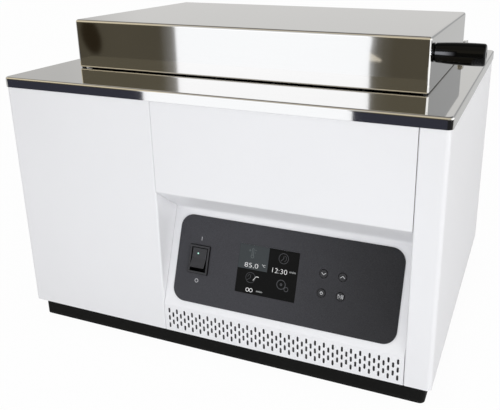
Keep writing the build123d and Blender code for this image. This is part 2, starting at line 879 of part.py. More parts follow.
def make_shelf():
    """Perforated lift-out shelf over the heater, on two folded legs."""
    width = tank_width - 2 * shelf_margin
    length = tank_length - 2 * shelf_margin
    top = tank_floor + shelf_height
    plate = prism(width, length, shelf_radius, tank_x, tank_y, top - shelf_thick, top)
    span_x = width - 2 * shelf_border
    span_y = length - 2 * shelf_border
    holes = Sketch()
    for column in range(shelf_hole_columns):
        for row in range(shelf_hole_rows):
            x = tank_x - span_x / 2 + span_x * column / (shelf_hole_columns - 1)
            y = tank_y - span_y / 2 + span_y * row / (shelf_hole_rows - 1)
            holes += Pos(x, y) * Circle(shelf_hole_radius)
    cut = extrude(Pos(0, 0, top - shelf_thick - overrun) * holes, amount=shelf_thick + 2 * overrun)
    keep("shelf_plate", plate - cut)
    leg_half = length / 2 - shelf_leg_border
    for name, side in (("shelf_leg_left", -1), ("shelf_leg_right", 1)):
        x = tank_x + side * (width / 2 - shelf_leg_inset)
        half = shelf_leg_thick / 2
        leg = block(x - half, x + half, tank_y - leg_half, tank_y + leg_half,
                    tank_floor, top - shelf_thick)
        for y in heater_leg_places() + sensor_places():
            slot = heater_radius + 2 * slack
            leg -= block(x - half - overrun, x + half + overrun, y - slot, y + slot,
                         tank_floor - overrun, heater_z + slot)
        keep(name, leg)


def make_lid():
    """Stainless lid with rounded edges, open below inside a folded hem, on small rubber buffers."""
    lid = block(lid_left, lid_right, lid_front, lid_rear, lid_bottom, lid_top)
    lid = fillet(lid.edges().filter_by(Axis.Z) + lid.faces().sort_by(Axis.Z)[-1].edges(),
                 radius=lid_edge_radius)
    lid = fillet(lid.faces().sort_by(Axis.Z)[0].edges(), radius=lid_hem_radius)
    hollow = block(lid_left + stainless, lid_right - stainless, lid_front + stainless,
                   lid_rear - stainless, lid_bottom + stainless, lid_top - stainless)
    hollow = fillet(hollow.edges().filter_by(Axis.Z) + hollow.faces().sort_by(Axis.Z)[-1].edges(),
                    radius=lid_edge_radius - stainless)
    hollow = fillet(hollow.faces().sort_by(Axis.Z)[0].edges(), radius=lid_hem_radius - stainless)
    mouth = stainless + lid_hem
    lid -= hollow
    lid -= block(lid_left + mouth, lid_right - mouth, lid_front + mouth, lid_rear - mouth,
                 lid_bottom - overrun, lid_bottom + stainless + overrun)
    lid -= rod_x(handle_screw_radius + pipe_fit, lid_right - stainless - overrun,
                 lid_right + overrun, handle_y, handle_z)
    for x0, x1 in ((lid_left - overrun, lid_left + stainless + overrun),
                   (lid_right - stainless - overrun, lid_right + overrun)):
        for y in rivet_places():
            lid -= rod_x(rivet_radius + press_gap, x0, x1, y, rivet_z)
    keep("lid_shell", lid)
    inset = stainless + lid_hem / 2
    buffers = []
    for x in (lid_left + inset, lid_right - inset):
        for y in (lid_front + inset, lid_rear - inset):
            buffers.append(rod_z(buffer_radius, x, y, deck_height + buffer_play, lid_bottom))
    keep("lid_buffers", Compound(children=buffers))


def make_handle():
    """Black turned grip on the lid's right side, with its collar and screw."""
    keep("handle_collar", rod_x(collar_radius, lid_right, lid_right + collar_thick, handle_y, handle_z)
         - rod_x(handle_screw_radius + pipe_fit, lid_right - overrun,
                 lid_right + collar_thick + overrun, handle_y, handle_z))
    start = lid_right + collar_thick
    end = lid_right + handle_length
    body_start = start + handle_neck
    chamfered = body_start + handle_chamfer
    middle = body_start + (end - body_start) * handle_middle_share
    edge_start = end - handle_edge
    corner_share = sqrt(1 / 2)
    with BuildSketch(Plane.XY) as side:
        with BuildLine():
            Polyline(
                (start, 0),
                (start, handle_neck_radius),
                (body_start, handle_neck_radius),
                (body_start, handle_start_radius - handle_chamfer),
                (chamfered, handle_start_radius),
            )
            ThreePointArc(
                (chamfered, handle_start_radius),
                (middle, handle_middle_radius),
                (edge_start, handle_end_radius),
            )
            ThreePointArc(
                (edge_start, handle_end_radius),
                (edge_start + handle_edge * corner_share,
                 handle_end_radius - handle_edge + handle_edge * corner_share),
                (end, handle_end_radius - handle_edge),
            )
            Polyline(
                (end, handle_end_radius - handle_edge),
                (end, handle_dimple_radius),
                (end - handle_dimple, handle_dimple_radius),
                (end - handle_dimple, 0),
                (start, 0),
            )
        make_face()
    grip = revolve(side.sketch, axis=Axis.X, revolution_arc=360)
    grip = Pos(0, handle_y, handle_z) * grip
    screw_start = lid_right - stainless - handle_screw_head
    screw_end = lid_right - stainless + handle_screw_length
    grip -= rod_x(handle_screw_radius + pipe_fit, start - overrun, screw_end + slack, handle_y, handle_z)
    keep("handle_grip", grip)
    screw = rod_x(handle_screw_head_radius, screw_start, lid_right - stainless, handle_y, handle_z)
    screw += rod_x(handle_screw_radius, screw_start, screw_end, handle_y, handle_z)
    keep("handle_screw", screw)


def rivet_places():
    """Places along Y of the two rivets that hold each hinge arm."""
    middle = lid_rear - lid_edge_radius - slack - rivet_head_radius - rivet_pitch / 2
    return [middle + side * rivet_pitch / 2 for side in (-1, 1)]


def bracket_screw_places():
    """Places of the screws that hold the two hinge brackets on the deck."""
    inward = hinge_gap + bracket_thick + bracket_foot / 2
    return [(x, hinge_y + side * bracket_screw_pitch / 2)
            for x in (lid_left + inward, lid_right - inward) for side in (-1, 1)]


def hinge_arm(x0, x1):
    """Strap on the lid's side, with a square heel behind the pivot."""
    y0 = lid_rear - hinge_arm_lap
    low = hinge_z - hinge_arm_radius
    high = hinge_z + hinge_arm_radius
    arm = block(x0, x1, y0, hinge_y, low, high)
    arm += block(x0, x1, hinge_y, hinge_y + hinge_heel, hinge_z, high)
    arm += rod_x(hinge_arm_radius, x0, x1, hinge_y, hinge_z)
    arm -= rod_x(hinge_pin_radius + running_gap, x0 - overrun, x1 + overrun, hinge_y, hinge_z)
    for y in rivet_places():
        arm -= rod_x(rivet_radius + press_gap, x0 - overrun, x1 + overrun, y, rivet_z)
    return arm


def hinge_bracket(face_x, side):
    """Angle bracket on the deck; its upright stands inside the arm, at face_x."""
    inner_x = face_x - side * bracket_thick
    foot_x = inner_x - side * bracket_foot
    y0 = hinge_y - bracket_half_length
    y1 = hinge_y + bracket_half_length
    upright = block(min(face_x, inner_x), max(face_x, inner_x), y0, y1, deck_height,
                    hinge_z + hinge_arm_radius)
    top_edges = upright.edges().filter_by(Axis.X).group_by(Axis.Z)[-1]
    upright = fillet(top_edges, radius=bracket_corner)
    foot = block(min(inner_x, foot_x), max(inner_x, foot_x), y0, y1, deck_height,
                 deck_height + bracket_foot_thick)
    bracket = upright + foot
    bracket -= rod_x(hinge_pin_radius + press_gap, min(face_x, inner_x) - overrun,
                     max(face_x, inner_x) + overrun, hinge_y, hinge_z)
    for x, y in bracket_screw_places():
        bracket -= rod_z(screw_radius + screw_gap, x, y, deck_height - overrun,
                         deck_height + bracket_foot_thick + overrun)
    return bracket


def hinge_pin(face_x, side):
    """Headed pin from the bracket's inner face, through the arm, to its outer head."""
    inner = face_x - side * (hinge_gap + bracket_thick)
    outer = face_x + side * (hinge_arm_thick + slack)
    inner_end = inner - side * hinge_head
    outer_end = outer + side * hinge_head
    pin = rod_x(hinge_pin_radius, min(inner_end, outer_end), max(inner_end, outer_end), hinge_y, hinge_z)
    pin += rod_x(hinge_head_radius, min(inner, inner_end), max(inner, inner_end), hinge_y, hinge_z)
    pin += rod_x(hinge_head_radius, min(outer, outer_end), max(outer, outer_end), hinge_y, hinge_z)
    return pin


def make_hinges():
    """Hinge arms, brackets, pins, rivets and bracket screws."""
    keep("hinge_arm_left", hinge_arm(lid_left - hinge_arm_thick, lid_left))
    keep("hinge_arm_right", hinge_arm(lid_right, lid_right + hinge_arm_thick))
    keep("hinge_bracket_left", hinge_bracket(lid_left + hinge_gap, -1))
    keep("hinge_bracket_right", hinge_bracket(lid_right - hinge_gap, 1))
    keep("hinge_pins", Compound(children=[hinge_pin(lid_left, -1), hinge_pin(lid_right, 1)]))
    rivets = []
    for face_x, side in ((lid_left, -1), (lid_right, 1)):
        outside = face_x + side * hinge_arm_thick
        inside = face_x - side * stainless
        for y in rivet_places():
            outer = outside + side * rivet_head
            inner = inside - side * rivet_head
            rivet = rod_x(rivet_radius, min(inner, outer), max(inner, outer), y, rivet_z)
            rivet += rod_x(rivet_head_radius, min(outside, outer), max(outside, outer), y, rivet_z)
            rivet += rod_x(rivet_head_radius, min(inside, inner), max(inside, inner), y, rivet_z)
            rivets.append(rivet)
    keep("hinge_rivets", Compound(children=rivets))
    screws = []
    for x, y in bracket_screw_places():
        seat = deck_height + bracket_foot_thick
        screw = rod_z(screw_head_radius, x, y, seat, seat + screw_head)
        screw += rod_z(screw_radius, x, y, deck_under - screw_tail, seat)
        screws.append(screw)
    keep("bracket_screws", Compound(children=screws))


def make_drain():
    """Drain pipe from the tank's floor to the ball valve behind the back panel."""
    collar_low = tank_floor - stainless - pipe_collar
    inner_end = rear - sheet - locknut_thick - slack
    path = FilletPolyline(
        (drain_x, drain_y, tank_floor - stainless / 2),
        (drain_x, drain_y, drain_height),
        (drain_x, inner_end + locknut_thick, drain_height),
        radius=pipe_bend,
    )
    section = Plane(origin=path @ 0, z_dir=path % 0)
    ring = Circle(pipe_radius) - Circle(pipe_bore_radius)
    pipe = sweep(section * ring, path=path)
    keep("drain_pipe", pipe)
    collar = rod_z(pipe_collar_radius, drain_x, drain_y, collar_low, tank_floor - stainless)
    collar -= rod_z(pipe_radius + pipe_fit, drain_x, drain_y, collar_low - overrun,
                    tank_floor - stainless + overrun)
    keep("drain_collar", collar)

    flange_end = rear + valve_flange
    body_end = flange_end + valve_length
    middle_y = flange_end + valve_length / 2
    body = rod_y(valve_neck_radius, rear - sheet - locknut_thick, flange_end, drain_x, drain_height)
    hex_flange = Pos(drain_x, rear, drain_height) * Rot(-90, 0, 0) * hexagon(valve_flats, valve_flange)
    body += hex_flange
    body += rod_y(valve_radius, flange_end, body_end, drain_x, drain_height)
    body += rod_y(nozzle_radius, body_end, body_end + nozzle_length, drain_x, drain_height)
    boss_top = drain_height + valve_radius + valve_boss
    body += rod_z(valve_boss_radius, drain_x, middle_y, drain_height, boss_top)
    body -= rod_y(pipe_radius + pipe_fit, rear - sheet - locknut_thick - overrun, rear, drain_x, drain_height)
    body -= rod_y(ball_bore_radius, rear - overrun, body_end + nozzle_length + overrun,
                  drain_x, drain_height)
    body -= Pos(drain_x, middle_y, drain_height) * Sphere(ball_radius + slack)
    body -= rod_z(stem_radius + running_gap, drain_x, middle_y, drain_height, boss_top + overrun)
    keep("valve_body", body)

    ball = Sphere(ball_radius) - rod_x(ball_bore_radius, -2 * ball_radius, 2 * ball_radius, 0, 0)
    ball = Pos(drain_x, middle_y, drain_height) * ball
    stem_top = boss_top + stem_proud
    ball += rod_z(stem_radius, drain_x, middle_y, drain_height + ball_bore_radius + stem_radius / 2,
                  stem_top)
    keep("valve_ball", ball)
    lever_low = boss_top + slack
    lever = block(drain_x - lever_length, drain_x, middle_y - lever_width / 2,
                  middle_y + lever_width / 2, lever_low, lever_low + lever_thick)
    lever += rod_z(lever_width / 2, drain_x, middle_y, lever_low, lever_low + lever_thick)
    lever += rod_z(lever_width / 2, drain_x - lever_length, middle_y, lever_low, lever_low + lever_thick)
    lever -= rod_z(stem_radius + press_gap, drain_x, middle_y, lever_low - overrun,
                   lever_low + lever_thick + overrun)
    keep("valve_lever", lever)
    nut_low = lever_low + lever_thick
    nut = Pos(drain_x, middle_y, nut_low) * hexagon(lever_nut_flats, lever_nut)
    nut -= rod_z(stem_radius + press_gap, drain_x, middle_y, nut_low - overrun,
                 nut_low + lever_nut + overrun)
    keep("lever_nut", nut)
    locknut = Pos(drain_x, rear - sheet - locknut_thick, drain_height) * Rot(-90, 0, 0)
    locknut = locknut * hexagon(locknut_flats, locknut_thick)
    locknut -= rod_y(valve_neck_radius + press_gap, rear - sheet - locknut_thick - overrun,
                     rear, drain_x, drain_height)
    keep("valve_locknut", locknut)


def make_inlet():
    """Three-pin mains inlet at the back, with no cord."""
    outline = RectangleRounded(inlet_flange_width, inlet_flange_height, inlet_flange_radius)
    face = Plane(origin=(inlet_x, rear, inlet_height), x_dir=(-1, 0, 0), z_dir=(0, 1, 0))
    body = extrude(face * outline, amount=inlet_flange_thick)
    half_width = inlet_body_width / 2
    half_height = inlet_body_height / 2
    body += block(inlet_x - half_width, inlet_x + half_width, rear - inlet_body_depth, rear,
                  inlet_height - half_height, inlet_height + half_height)
    recess_y = rear + inlet_flange_thick - inlet_recess_depth
    body -= block(inlet_x - inlet_recess_width / 2, inlet_x + inlet_recess_width / 2,
                  recess_y, rear + inlet_flange_thick + overrun,
                  inlet_height - inlet_recess_height / 2, inlet_height + inlet_recess_height / 2)
    places = inlet_pin_places()
    for x, z in places:
        body -= block(x - inlet_pin_width / 2 - press_gap, x + inlet_pin_width / 2 + press_gap,
                      rear - inlet_body_depth - overrun, recess_y + overrun,
                      z - inlet_pin_height / 2 - press_gap, z + inlet_pin_height / 2 + press_gap)
    for side in (-1, 1):
        x = inlet_x + side * inlet_screw_pitch / 2
        body -= rod_y(screw_radius + screw_gap, rear - overrun,
                      rear + inlet_flange_thick + overrun, x, inlet_height)
    keep("mains_inlet", body)
    pins = []
    for x, z in places:
        pins.append(block(x - inlet_pin_width / 2, x + inlet_pin_width / 2,
                          rear - inlet_body_depth - inlet_tab, recess_y + inlet_pin_length,
                          z - inlet_pin_height / 2, z + inlet_pin_height / 2))
    keep("inlet_pins", Compound(children=pins))


def inlet_pin_places():
    """Places of the inlet's three pins, the earth pin above the other two."""
    return [
        (inlet_x - inlet_pin_pitch, inlet_height - inlet_pin_drop),
        (inlet_x + inlet_pin_pitch, inlet_height - inlet_pin_drop),
        (inlet_x, inlet_height + inlet_pin_drop),
    ]


def make_power_parts():
    """Power board with its parts, and the heater's relay on a heat sink, on the tray's floor."""
    x0 = board_x - board_width / 2
    x1 = board_x + board_width / 2
    y0 = board_y - board_length / 2
    y1 = board_y + board_length / 2
    low = plinth_floor + board_lift
    keep("power_board", block(x0, x1, y0, y1, low, low + circuit_thick))
    inset = board_post_inset
    for x in (x0 + inset, x1 - inset):
        for y in (y0 + inset, y1 - inset):
            board_posts.append(rod_z(board_post_radius, x, y, plinth_floor, low))
    top = low + circuit_thick
    edge_x = x0 + 2 * inset
    transformer = block(edge_x, edge_x + transformer_width, board_y - transformer_length / 2,
                        board_y + transformer_length / 2, top, top + transformer_height)
    keep("transformer", transformer)
    capacitor_x = edge_x + transformer_width + 2 * inset + capacitor_radius
    cans = [rod_z(capacitor_radius, capacitor_x, board_y + side * capacitor_pitch / 2,
                  top, top + capacitor_height) for side in (-1, 1)]
    keep("capacitors", Compound(children=cans))

    base_low = plinth_floor + sink_fin_height
    sink = block(sink_x - sink_width / 2, sink_x + sink_width / 2, sink_y - sink_length / 2,
                 sink_y + sink_length / 2, base_low, base_low + sink_base)
    for fin in range(sink_fins):
        x = sink_x - sink_width / 2 + (sink_width - sink_fin) * fin / (sink_fins - 1)
        sink += block(x, x + sink_fin, sink_y - sink_length / 2, sink_y + sink_length / 2,
                      plinth_floor, base_low)
    keep("heat_sink", sink)
    relay_low = base_low + sink_base
    relay = block(sink_x - relay_width / 2, sink_x + relay_width / 2, sink_y - relay_length / 2,
                  sink_y + relay_length / 2, relay_low, relay_low + relay_height)
    relay = fillet(relay.edges().filter_by(Axis.Z), radius=relay_radius)
    keep("solid_state_relay", relay)


def make_all():
    """Makes every piece and writes one file for each."""
    make_plinth()
    make_side_panels()
    make_rear_panel()
    make_screws()
    make_front_insert()
    make_fascia()
    make_display()
    make_keys()
    make_controller()
    make_switch()
    make_deck()
    make_tank()
    make_heater()
    make_sensors()
    make_insulation()
    make_shelf()
    make_lid()
    make_handle()
    make_hinges()
    make_drain()
    make_inlet()
    make_power_parts()
    keep("board_posts", Compound(children=board_posts))
    keep("tank_glands", Compound(children=tank_glands))
    os.makedirs("parts", exist_ok=True)
    for name, shape in pieces.items():
        export_step(shape, f"parts/{name}.step")


make_all()
print(len(pieces), "pieces")
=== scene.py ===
"""Looks of a laboratory water bath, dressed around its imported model, in metres."""
import math

import bpy
from mathutils import Matrix, Vector


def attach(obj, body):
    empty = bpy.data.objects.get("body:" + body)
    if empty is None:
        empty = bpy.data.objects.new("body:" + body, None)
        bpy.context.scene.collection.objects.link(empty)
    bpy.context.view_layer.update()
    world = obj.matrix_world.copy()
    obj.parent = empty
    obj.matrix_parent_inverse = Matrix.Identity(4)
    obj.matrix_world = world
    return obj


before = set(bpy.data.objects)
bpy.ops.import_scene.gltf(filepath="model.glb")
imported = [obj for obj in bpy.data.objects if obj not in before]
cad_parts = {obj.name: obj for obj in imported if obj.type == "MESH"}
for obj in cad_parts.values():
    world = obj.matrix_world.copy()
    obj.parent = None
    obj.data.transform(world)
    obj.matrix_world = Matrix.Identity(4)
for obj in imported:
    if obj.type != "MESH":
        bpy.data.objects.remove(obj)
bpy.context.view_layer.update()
bpy.context.scene.view_settings.view_transform = "Standard"


# Camera
# It stands in front of the bath, to its right and a little above the lid, and looks down and left.
# Its place, lens and shift were fitted to the straight edges of the real bath.
CAMERA_PLACE = (0.3172, -0.7462, 0.4507)
CAMERA_RIGHT = Vector((0.93252, 0.36112, -0.00022))
CAMERA_DOWN = Vector((0.11439, -0.29597, -0.94832))
CAMERA_AHEAD = Vector((-0.34252, 0.88431, -0.31730))
CAMERA_LENS = 45.99
CAMERA_SHIFT = (-0.0932, -0.0950)

camera = bpy.data.objects.new("camera", bpy.data.cameras.new("camera"))
bpy.context.scene.collection.objects.link(camera)
bpy.context.scene.camera = camera
camera.data.sensor_width = 36
camera.data.lens = CAMERA_LENS
camera.data.shift_x, camera.data.shift_y = CAMERA_SHIFT
camera.data.clip_start = 0.02
camera.data.clip_end = 100
turned = Matrix((CAMERA_RIGHT, -CAMERA_DOWN, -CAMERA_AHEAD)).transposed()
camera.matrix_world = Matrix.Translation(CAMERA_PLACE) @ turned.to_4x4()


# Bench and studio
# A white bench top under an even white sky, with five soft lamps that the steel doesn't show.
# In front hang a lit white sheet and brown cloths, and a white wall stands at the right. Only
# polished surfaces mirror these.
class Value:
    """A socket of a finish, on which sums are written as in plain Python."""

    def __init__(self, finish, socket):
        self.finish = finish
        self.socket = socket

    def sum(self, operation, first, second):
        settings = {"operation": operation}
        return self.finish.node("ShaderNodeMath", settings, {0: first, 1: second})

    def __add__(self, other):
        return self.sum("ADD", self, other)

    def __radd__(self, other):
        return self.sum("ADD", other, self)

    def __sub__(self, other):
        return self.sum("SUBTRACT", self, other)

    def __rsub__(self, other):
        return self.sum("SUBTRACT", other, self)

    def __mul__(self, other):
        return self.sum("MULTIPLY", self, other)

    def __rmul__(self, other):
        return self.sum("MULTIPLY", other, self)

    def __truediv__(self, other):
        return self.sum("DIVIDE", self, other)

    def __pow__(self, other):
        return self.sum("POWER", self, other)

    def __abs__(self):
        return self.sum("ABSOLUTE", self, 0)

    def __gt__(self, other):
        return self.sum("GREATER_THAN", self, other)

    def __lt__(self, other):
        return self.sum("LESS_THAN", self, other)


class Finish:
    """A material under the name of the finish that it stands for."""

    def __init__(self, name, tree=None):
        if tree is None:
            self.material = bpy.data.materials.new(name)
            self.material.use_nodes = True
            tree = self.material.node_tree
        self.tree = tree
        self.shader = tree.nodes.get("Principled BSDF")

    def put(self, socket, value):
        """Gives a socket a link or a constant."""
        if isinstance(value, Value):
            self.tree.links.new(value.socket, socket)
        elif socket.type == "RGBA" and len(value) == 3:
            socket.default_value = (*value, 1)
        else:
            socket.default_value = value

    def node(self, kind, settings=None, sockets=None, output=0):
        """Adds a node: its settings first, then the values or links of its sockets."""
        made = self.tree.nodes.new(kind)
        for name, setting in (settings or {}).items():
            if name == "stops":
                ramp = made.color_ramp.elements
                while len(ramp) < len(setting):
                    ramp.new(1)
                for element, (place, colour) in zip(ramp, setting):
                    element.position = place
                    element.color = (*colour, 1)
            else:
                setattr(made, name, setting)
        for name, value in (sockets or {}).items():
            self.put(made.inputs[name], value)
        return Value(self, made.outputs[output])

    def set(self, **sockets):
        """Sets the shader's own sockets, named with _ for a space."""
        for name, value in sockets.items():
            self.put(self.shader.inputs[name.replace("_", " ")], value)

    def place(self):
        """The point on the piece, in metres in the bath's own frame."""
        return self.node("ShaderNodeTexCoord", output="Object")

    def along(self, axis):
        """How far the point lies along X, Y or Z, in metres."""
        return self.node("ShaderNodeSeparateXYZ", sockets={0: self.place()}, output=axis)

    def faces(self, axis):
        """How much the surface looks along X, Y or Z, from -1 to 1."""
        outward = self.node("ShaderNodeTexCoord", output="Normal")
        return self.node("ShaderNodeSeparateXYZ", sockets={0: outward}, output=axis)

    def faces_toward(self, direction):
        """How much the surface looks in a direction, from -1 to 1."""
        outward = self.node("ShaderNodeTexCoord", output="Normal")
        return self.node("ShaderNodeVectorMath", {"operation": "DOT_PRODUCT"},
                         {0: outward, 1: direction}, "Value")

    def grain(self, scale, stretch=(1, 1, 1), detail=2.0, rough=0.5):
        """Noise from 0 to 1, with scale features to a metre, stretched along the axes."""
        spot = self.node("ShaderNodeMapping", sockets={"Vector": self.place(), "Scale": stretch})
        sockets = {"Vector": spot, "Scale": scale, "Detail": detail, "Roughness": rough}
        return self.node("ShaderNodeTexNoise", sockets=sockets, output="Fac")

    def ramp(self, value, *stops):
        """Colour that follows a value through stops of place and colour."""
        return self.node("ShaderNodeValToRGB", {"stops": stops}, {"Fac": value}, "Color")

    def fade(self, value, low, high):
        """0 below low, 1 above high, and smooth between them."""
        settings = {"interpolation_type": "SMOOTHSTEP"}
        sockets = {"Value": value, "From Min": low, "From Max": high}
        return self.node("ShaderNodeMapRange", settings, sockets, "Result")

    def mix(self, share, first, second):
        """First colour, going over to the second as share rises to 1."""
        settings = {"data_type": "RGBA"}
        return self.node("ShaderNodeMix", settings, {0: share, 6: first, 7: second}, 2)

    def bump(self, height, distance, strength=1.0):
        """Raises the surface by height times distance."""
        sockets = {"Height": height, "Distance": distance, "Strength": strength}
        self.put(self.shader.inputs["Normal"], self.node("ShaderNodeBump", sockets=sockets))


def seen_by_eye_or_mirror(finish):
    """Two values: 1 for rays from the camera, and 1 for rays from steel or glass."""
    rays = [finish.node("ShaderNodeLightPath", output=ray)
            for ray in ("Is Camera Ray", "Is Glossy Ray", "Is Transmission Ray")]
    return rays[0], rays[1] + rays[2]


SKY_LIGHT = (0.74, 0.74, 0.74)
BACK_MIRRORED = (0.675, 0.67, 0.66)
BACK_LEFT = (0.55, 0.545, 0.535)
BACK_RIGHT = (0.41, 0.415, 0.42)
BACK_HIGH = (0.16, 0.155, 0.15)
FRONT_WINDOW = (0.80, 0.80, 0.81)
FRONT_WALL = (0.84, 0.74, 0.54)
FRONT_HIGH = (0.56, 0.50, 0.40)
# Soft borders between these colours, as parts X, Y and Z of a unit ray.
LEFT_BORDER = (-0.56, -0.66)
RIGHT_BORDER = (0.085, 0.105)
BACK_HIGH_BORDER = (0.55, 0.70)
FRONT_HIGH_BORDER = (0.62, 0.80)
HORIZON_BORDER = (-0.05, 0.05)
WINDOW_LEFT = (-0.55, -0.51)
WINDOW_RIGHT = (-0.22, -0.26)
world = bpy.data.worlds.new("white_sky")
bpy.context.scene.world = world
world.use_nodes = True
sky = Finish("sky", world.node_tree)
ray = sky.node("ShaderNodeTexCoord", output="Generated")
across, ahead, upward = (sky.node("ShaderNodeSeparateXYZ", sockets={0: ray}, output=axis)
                         for axis in "XYZ")
back = sky.mix(sky.fade(across, *LEFT_BORDER), BACK_MIRRORED, BACK_LEFT)
back = sky.mix(sky.fade(across, *RIGHT_BORDER), back, BACK_RIGHT)
back = sky.mix(sky.fade(upward, *BACK_HIGH_BORDER), back, BACK_HIGH)
beside_window = 1 - sky.fade(across, *WINDOW_LEFT) * sky.fade(across, *WINDOW_RIGHT)
front = sky.mix(beside_window, FRONT_WINDOW, FRONT_WALL)
front = sky.mix(sky.fade(upward, *FRONT_HIGH_BORDER), front, FRONT_HIGH)
mirrored = sky.mix(sky.fade(ahead, *HORIZON_BORDER), front, back)
by_eye, by_mirror = seen_by_eye_or_mirror(sky)
sky_node = world.node_tree.nodes["Background"]
shown = sky.mix(by_eye, sky.mix(by_mirror, SKY_LIGHT, mirrored), (1, 1, 1))
sky.put(sky_node.inputs["Color"], shown)


def screen(name, width, height, middle, turn, finish):
    """Upright sheet of the studio, turned about Z, that only polished surfaces show."""
    bpy.ops.object.select_all(action="DESELECT")
    bpy.ops.mesh.primitive_plane_add(size=1, location=(0, 0, 0))
    sheet = bpy.context.object
    sheet.name = name
    sheet.data.transform(Matrix.Diagonal((width, height, 1, 1)))
    sheet.data.transform(Matrix.Rotation(math.radians(90), 4, "X"))
    sheet.data.transform(Matrix.Rotation(math.radians(turn), 4, "Z"))
    sheet.data.transform(Matrix.Translation(middle))
    sheet.data.materials.append(finish.material)
    sheet.visible_camera = False
    sheet.visible_diffuse = False
    sheet.visible_transmission = False
    sheet.visible_shadow = False


def glowing(name, colour, strength):
    """Finish that only gives light."""
    finish = Finish(name)
    finish.set(Base_Color=(0, 0, 0), Roughness=1.0, Specular_IOR_Level=0.0,
               Emission_Color=colour, Emission_Strength=strength)
    return finish


MM = 0.001
BENCH_PALE = (0.88, 0.88, 0.88)
BENCH_DEEP = (0.84, 0.84, 0.84)
BENCH_MIRRORED = (0.56, 0.56, 0.555)
BENCH_SEEN_SHARE = 0.965  # the rest keeps the bath's shadow
BENCH_MIRRORED_SHARE = 0.88
BENCH_RADIUS = 30.0
BENCH_BELOW = 0.2 * MM
bench_top = Finish("bench_top_white")
speck = bench_top.grain(60)
bench_top.set(Base_Color=bench_top.mix(speck, BENCH_DEEP, BENCH_PALE),
              Roughness=0.9, Specular_IOR_Level=0.0)
bench_eye, bench_mirror = seen_by_eye_or_mirror(bench_top)
lit_colour = bench_top.mix(bench_mirror, (1, 1, 1), BENCH_MIRRORED)
lit = bench_top.node("ShaderNodeEmission", sockets={"Color": lit_colour, "Strength": 1.0})
surface = bench_top.tree.nodes["Material Output"].inputs["Surface"]
both = bench_top.tree.nodes.new("ShaderNodeMixShader")
bench_top.put(both.inputs[0], bench_eye * BENCH_SEEN_SHARE + bench_mirror * BENCH_MIRRORED_SHARE)
bench_top.tree.links.new(bench_top.shader.outputs[0], both.inputs[1])
bench_top.tree.links.new(lit.socket, both.inputs[2])
bench_top.tree.links.new(both.outputs[0], surface)
bpy.ops.object.select_all(action="DESELECT")
bpy.ops.mesh.primitive_circle_add(vertices=96, radius=BENCH_RADIUS, fill_type="NGON",
                                  location=(0, 0, -BENCH_BELOW))
bench = bpy.context.object
bench.name = "bench_top"
bench.data.materials.append(bench_top.material)

# The sheet hangs a metre in front of the bath, from X -0.62 to -0.07, between brown cloths. The
# left cloth has a dark fold, and a torn paper lies over the sheet's right border near its foot.
ROOM_WIDE = 5.0
ROOM_TALL = 0.64
ROOM_MIDDLE = (-0.6, -1.0, 0.30)
FRONT_STRENGTH = 1.34
SHEET_WHITE = (0.95, 0.965, 0.995)
SHEET_HIGH = (1.15, 1.16, 1.20)
SHEET_HIGH_BORDER = (0.34, 0.38)
SHEET_LEFT = -0.625
SHEET_RIGHT = -0.070
SHEET_SHARP_BORDER = (0.12, 0.13)
SHEET_SPAN = 0.7
# Shares of the span from its left end, and how white the sheet's soft borders are there.
SHEET_STOPS = ((0.0, (0, 0, 0)), (0.05, (0, 0, 0)), (0.10, (0.11, 0.11, 0.10)),
               (0.119, (0.24, 0.24, 0.24)), (0.122, (1, 1, 1)), (0.896, (1, 1, 1)),
               (0.901, (0.27, 0.28, 0.31)), (0.92, (0.07, 0.07, 0.075)),
               (0.94, (0.025, 0.025, 0.025)), (0.98, (0, 0, 0)))
# Its right border leans to the left a little low down, and also high up, where lid and deck
# mirror it one after the other. There it is sharper too.
DRIFT_LOW = 0.0042
DRIFT_LOW_BORDER = (0.235, 0.190)
DRIFT_HIGH = 0.0025
DRIFT_HIGH_BORDER = (0.36, 0.45)
DRIFT_FROM_X = -0.3
SHARPER_SHARE = 0.75
SHARPER_BORDER = (-0.0728, -0.0690)
CLOTH_BROWN = (0.062, 0.054, 0.038)
CLOTH_SHADES = (0.85, 1.2)
CLOTH_HIGH = (0.100, 0.088, 0.062)
CLOTH_HIGH_BORDER = (0.27, 0.31)
CLOTH_LOW = (0.030, 0.031, 0.043)
CLOTH_LOW_BORDER = (0.13, 0.11)
FOLD_DARK = (0.018, 0.013, 0.007)
FOLD_X = -0.894
FOLD_Z = 0.200
FOLD_WIDE = 0.034
FOLD_TALL = 0.048
FOLD_LEAN = 0.4
FOLD_BORDER = (1.5, 0.6)
PAPER_TORN = (0.50, 0.45, 0.36)
PAPER_LEFT = -0.10
PAPER_RIGHT = -0.046
PAPER_FOOT = 0.181
PAPER_HEAD = 0.199  # at the sheet's right border, falling to the right
PAPER_FALL = 0.55
room = glowing("sheet_and_cloths", (0, 0, 0), FRONT_STRENGTH)
room_x = room.along("X")
room_z = room.along("Z")
folds = room.grain(3.0, stretch=(1, 1, 0.6))
cloth_deep, cloth_pale = (tuple(share * part for part in CLOTH_BROWN) for share in CLOTH_SHADES)
cloth = room.mix(folds, cloth_deep, cloth_pale)
fold_x = room_x - FOLD_X
fold_z = room_z - FOLD_Z + FOLD_LEAN * fold_x
fold_reach = (fold_x / FOLD_WIDE) ** 2 + (fold_z / FOLD_TALL) ** 2
cloth = room.mix(room.fade(fold_reach, *FOLD_BORDER), cloth, FOLD_DARK)
cloth = room.mix(room.fade(room_z, *CLOTH_HIGH_BORDER), cloth, CLOTH_HIGH)
cloth = room.mix(room.fade(room_z, *CLOTH_LOW_BORDER), cloth, CLOTH_LOW)
seen_twice = room.fade(room_z, *DRIFT_HIGH_BORDER)
edge_drift = DRIFT_LOW * room.fade(room_z, *DRIFT_LOW_BORDER) + DRIFT_HIGH * seen_twice
edge_x = room_x + (room_x > DRIFT_FROM_X) * edge_drift
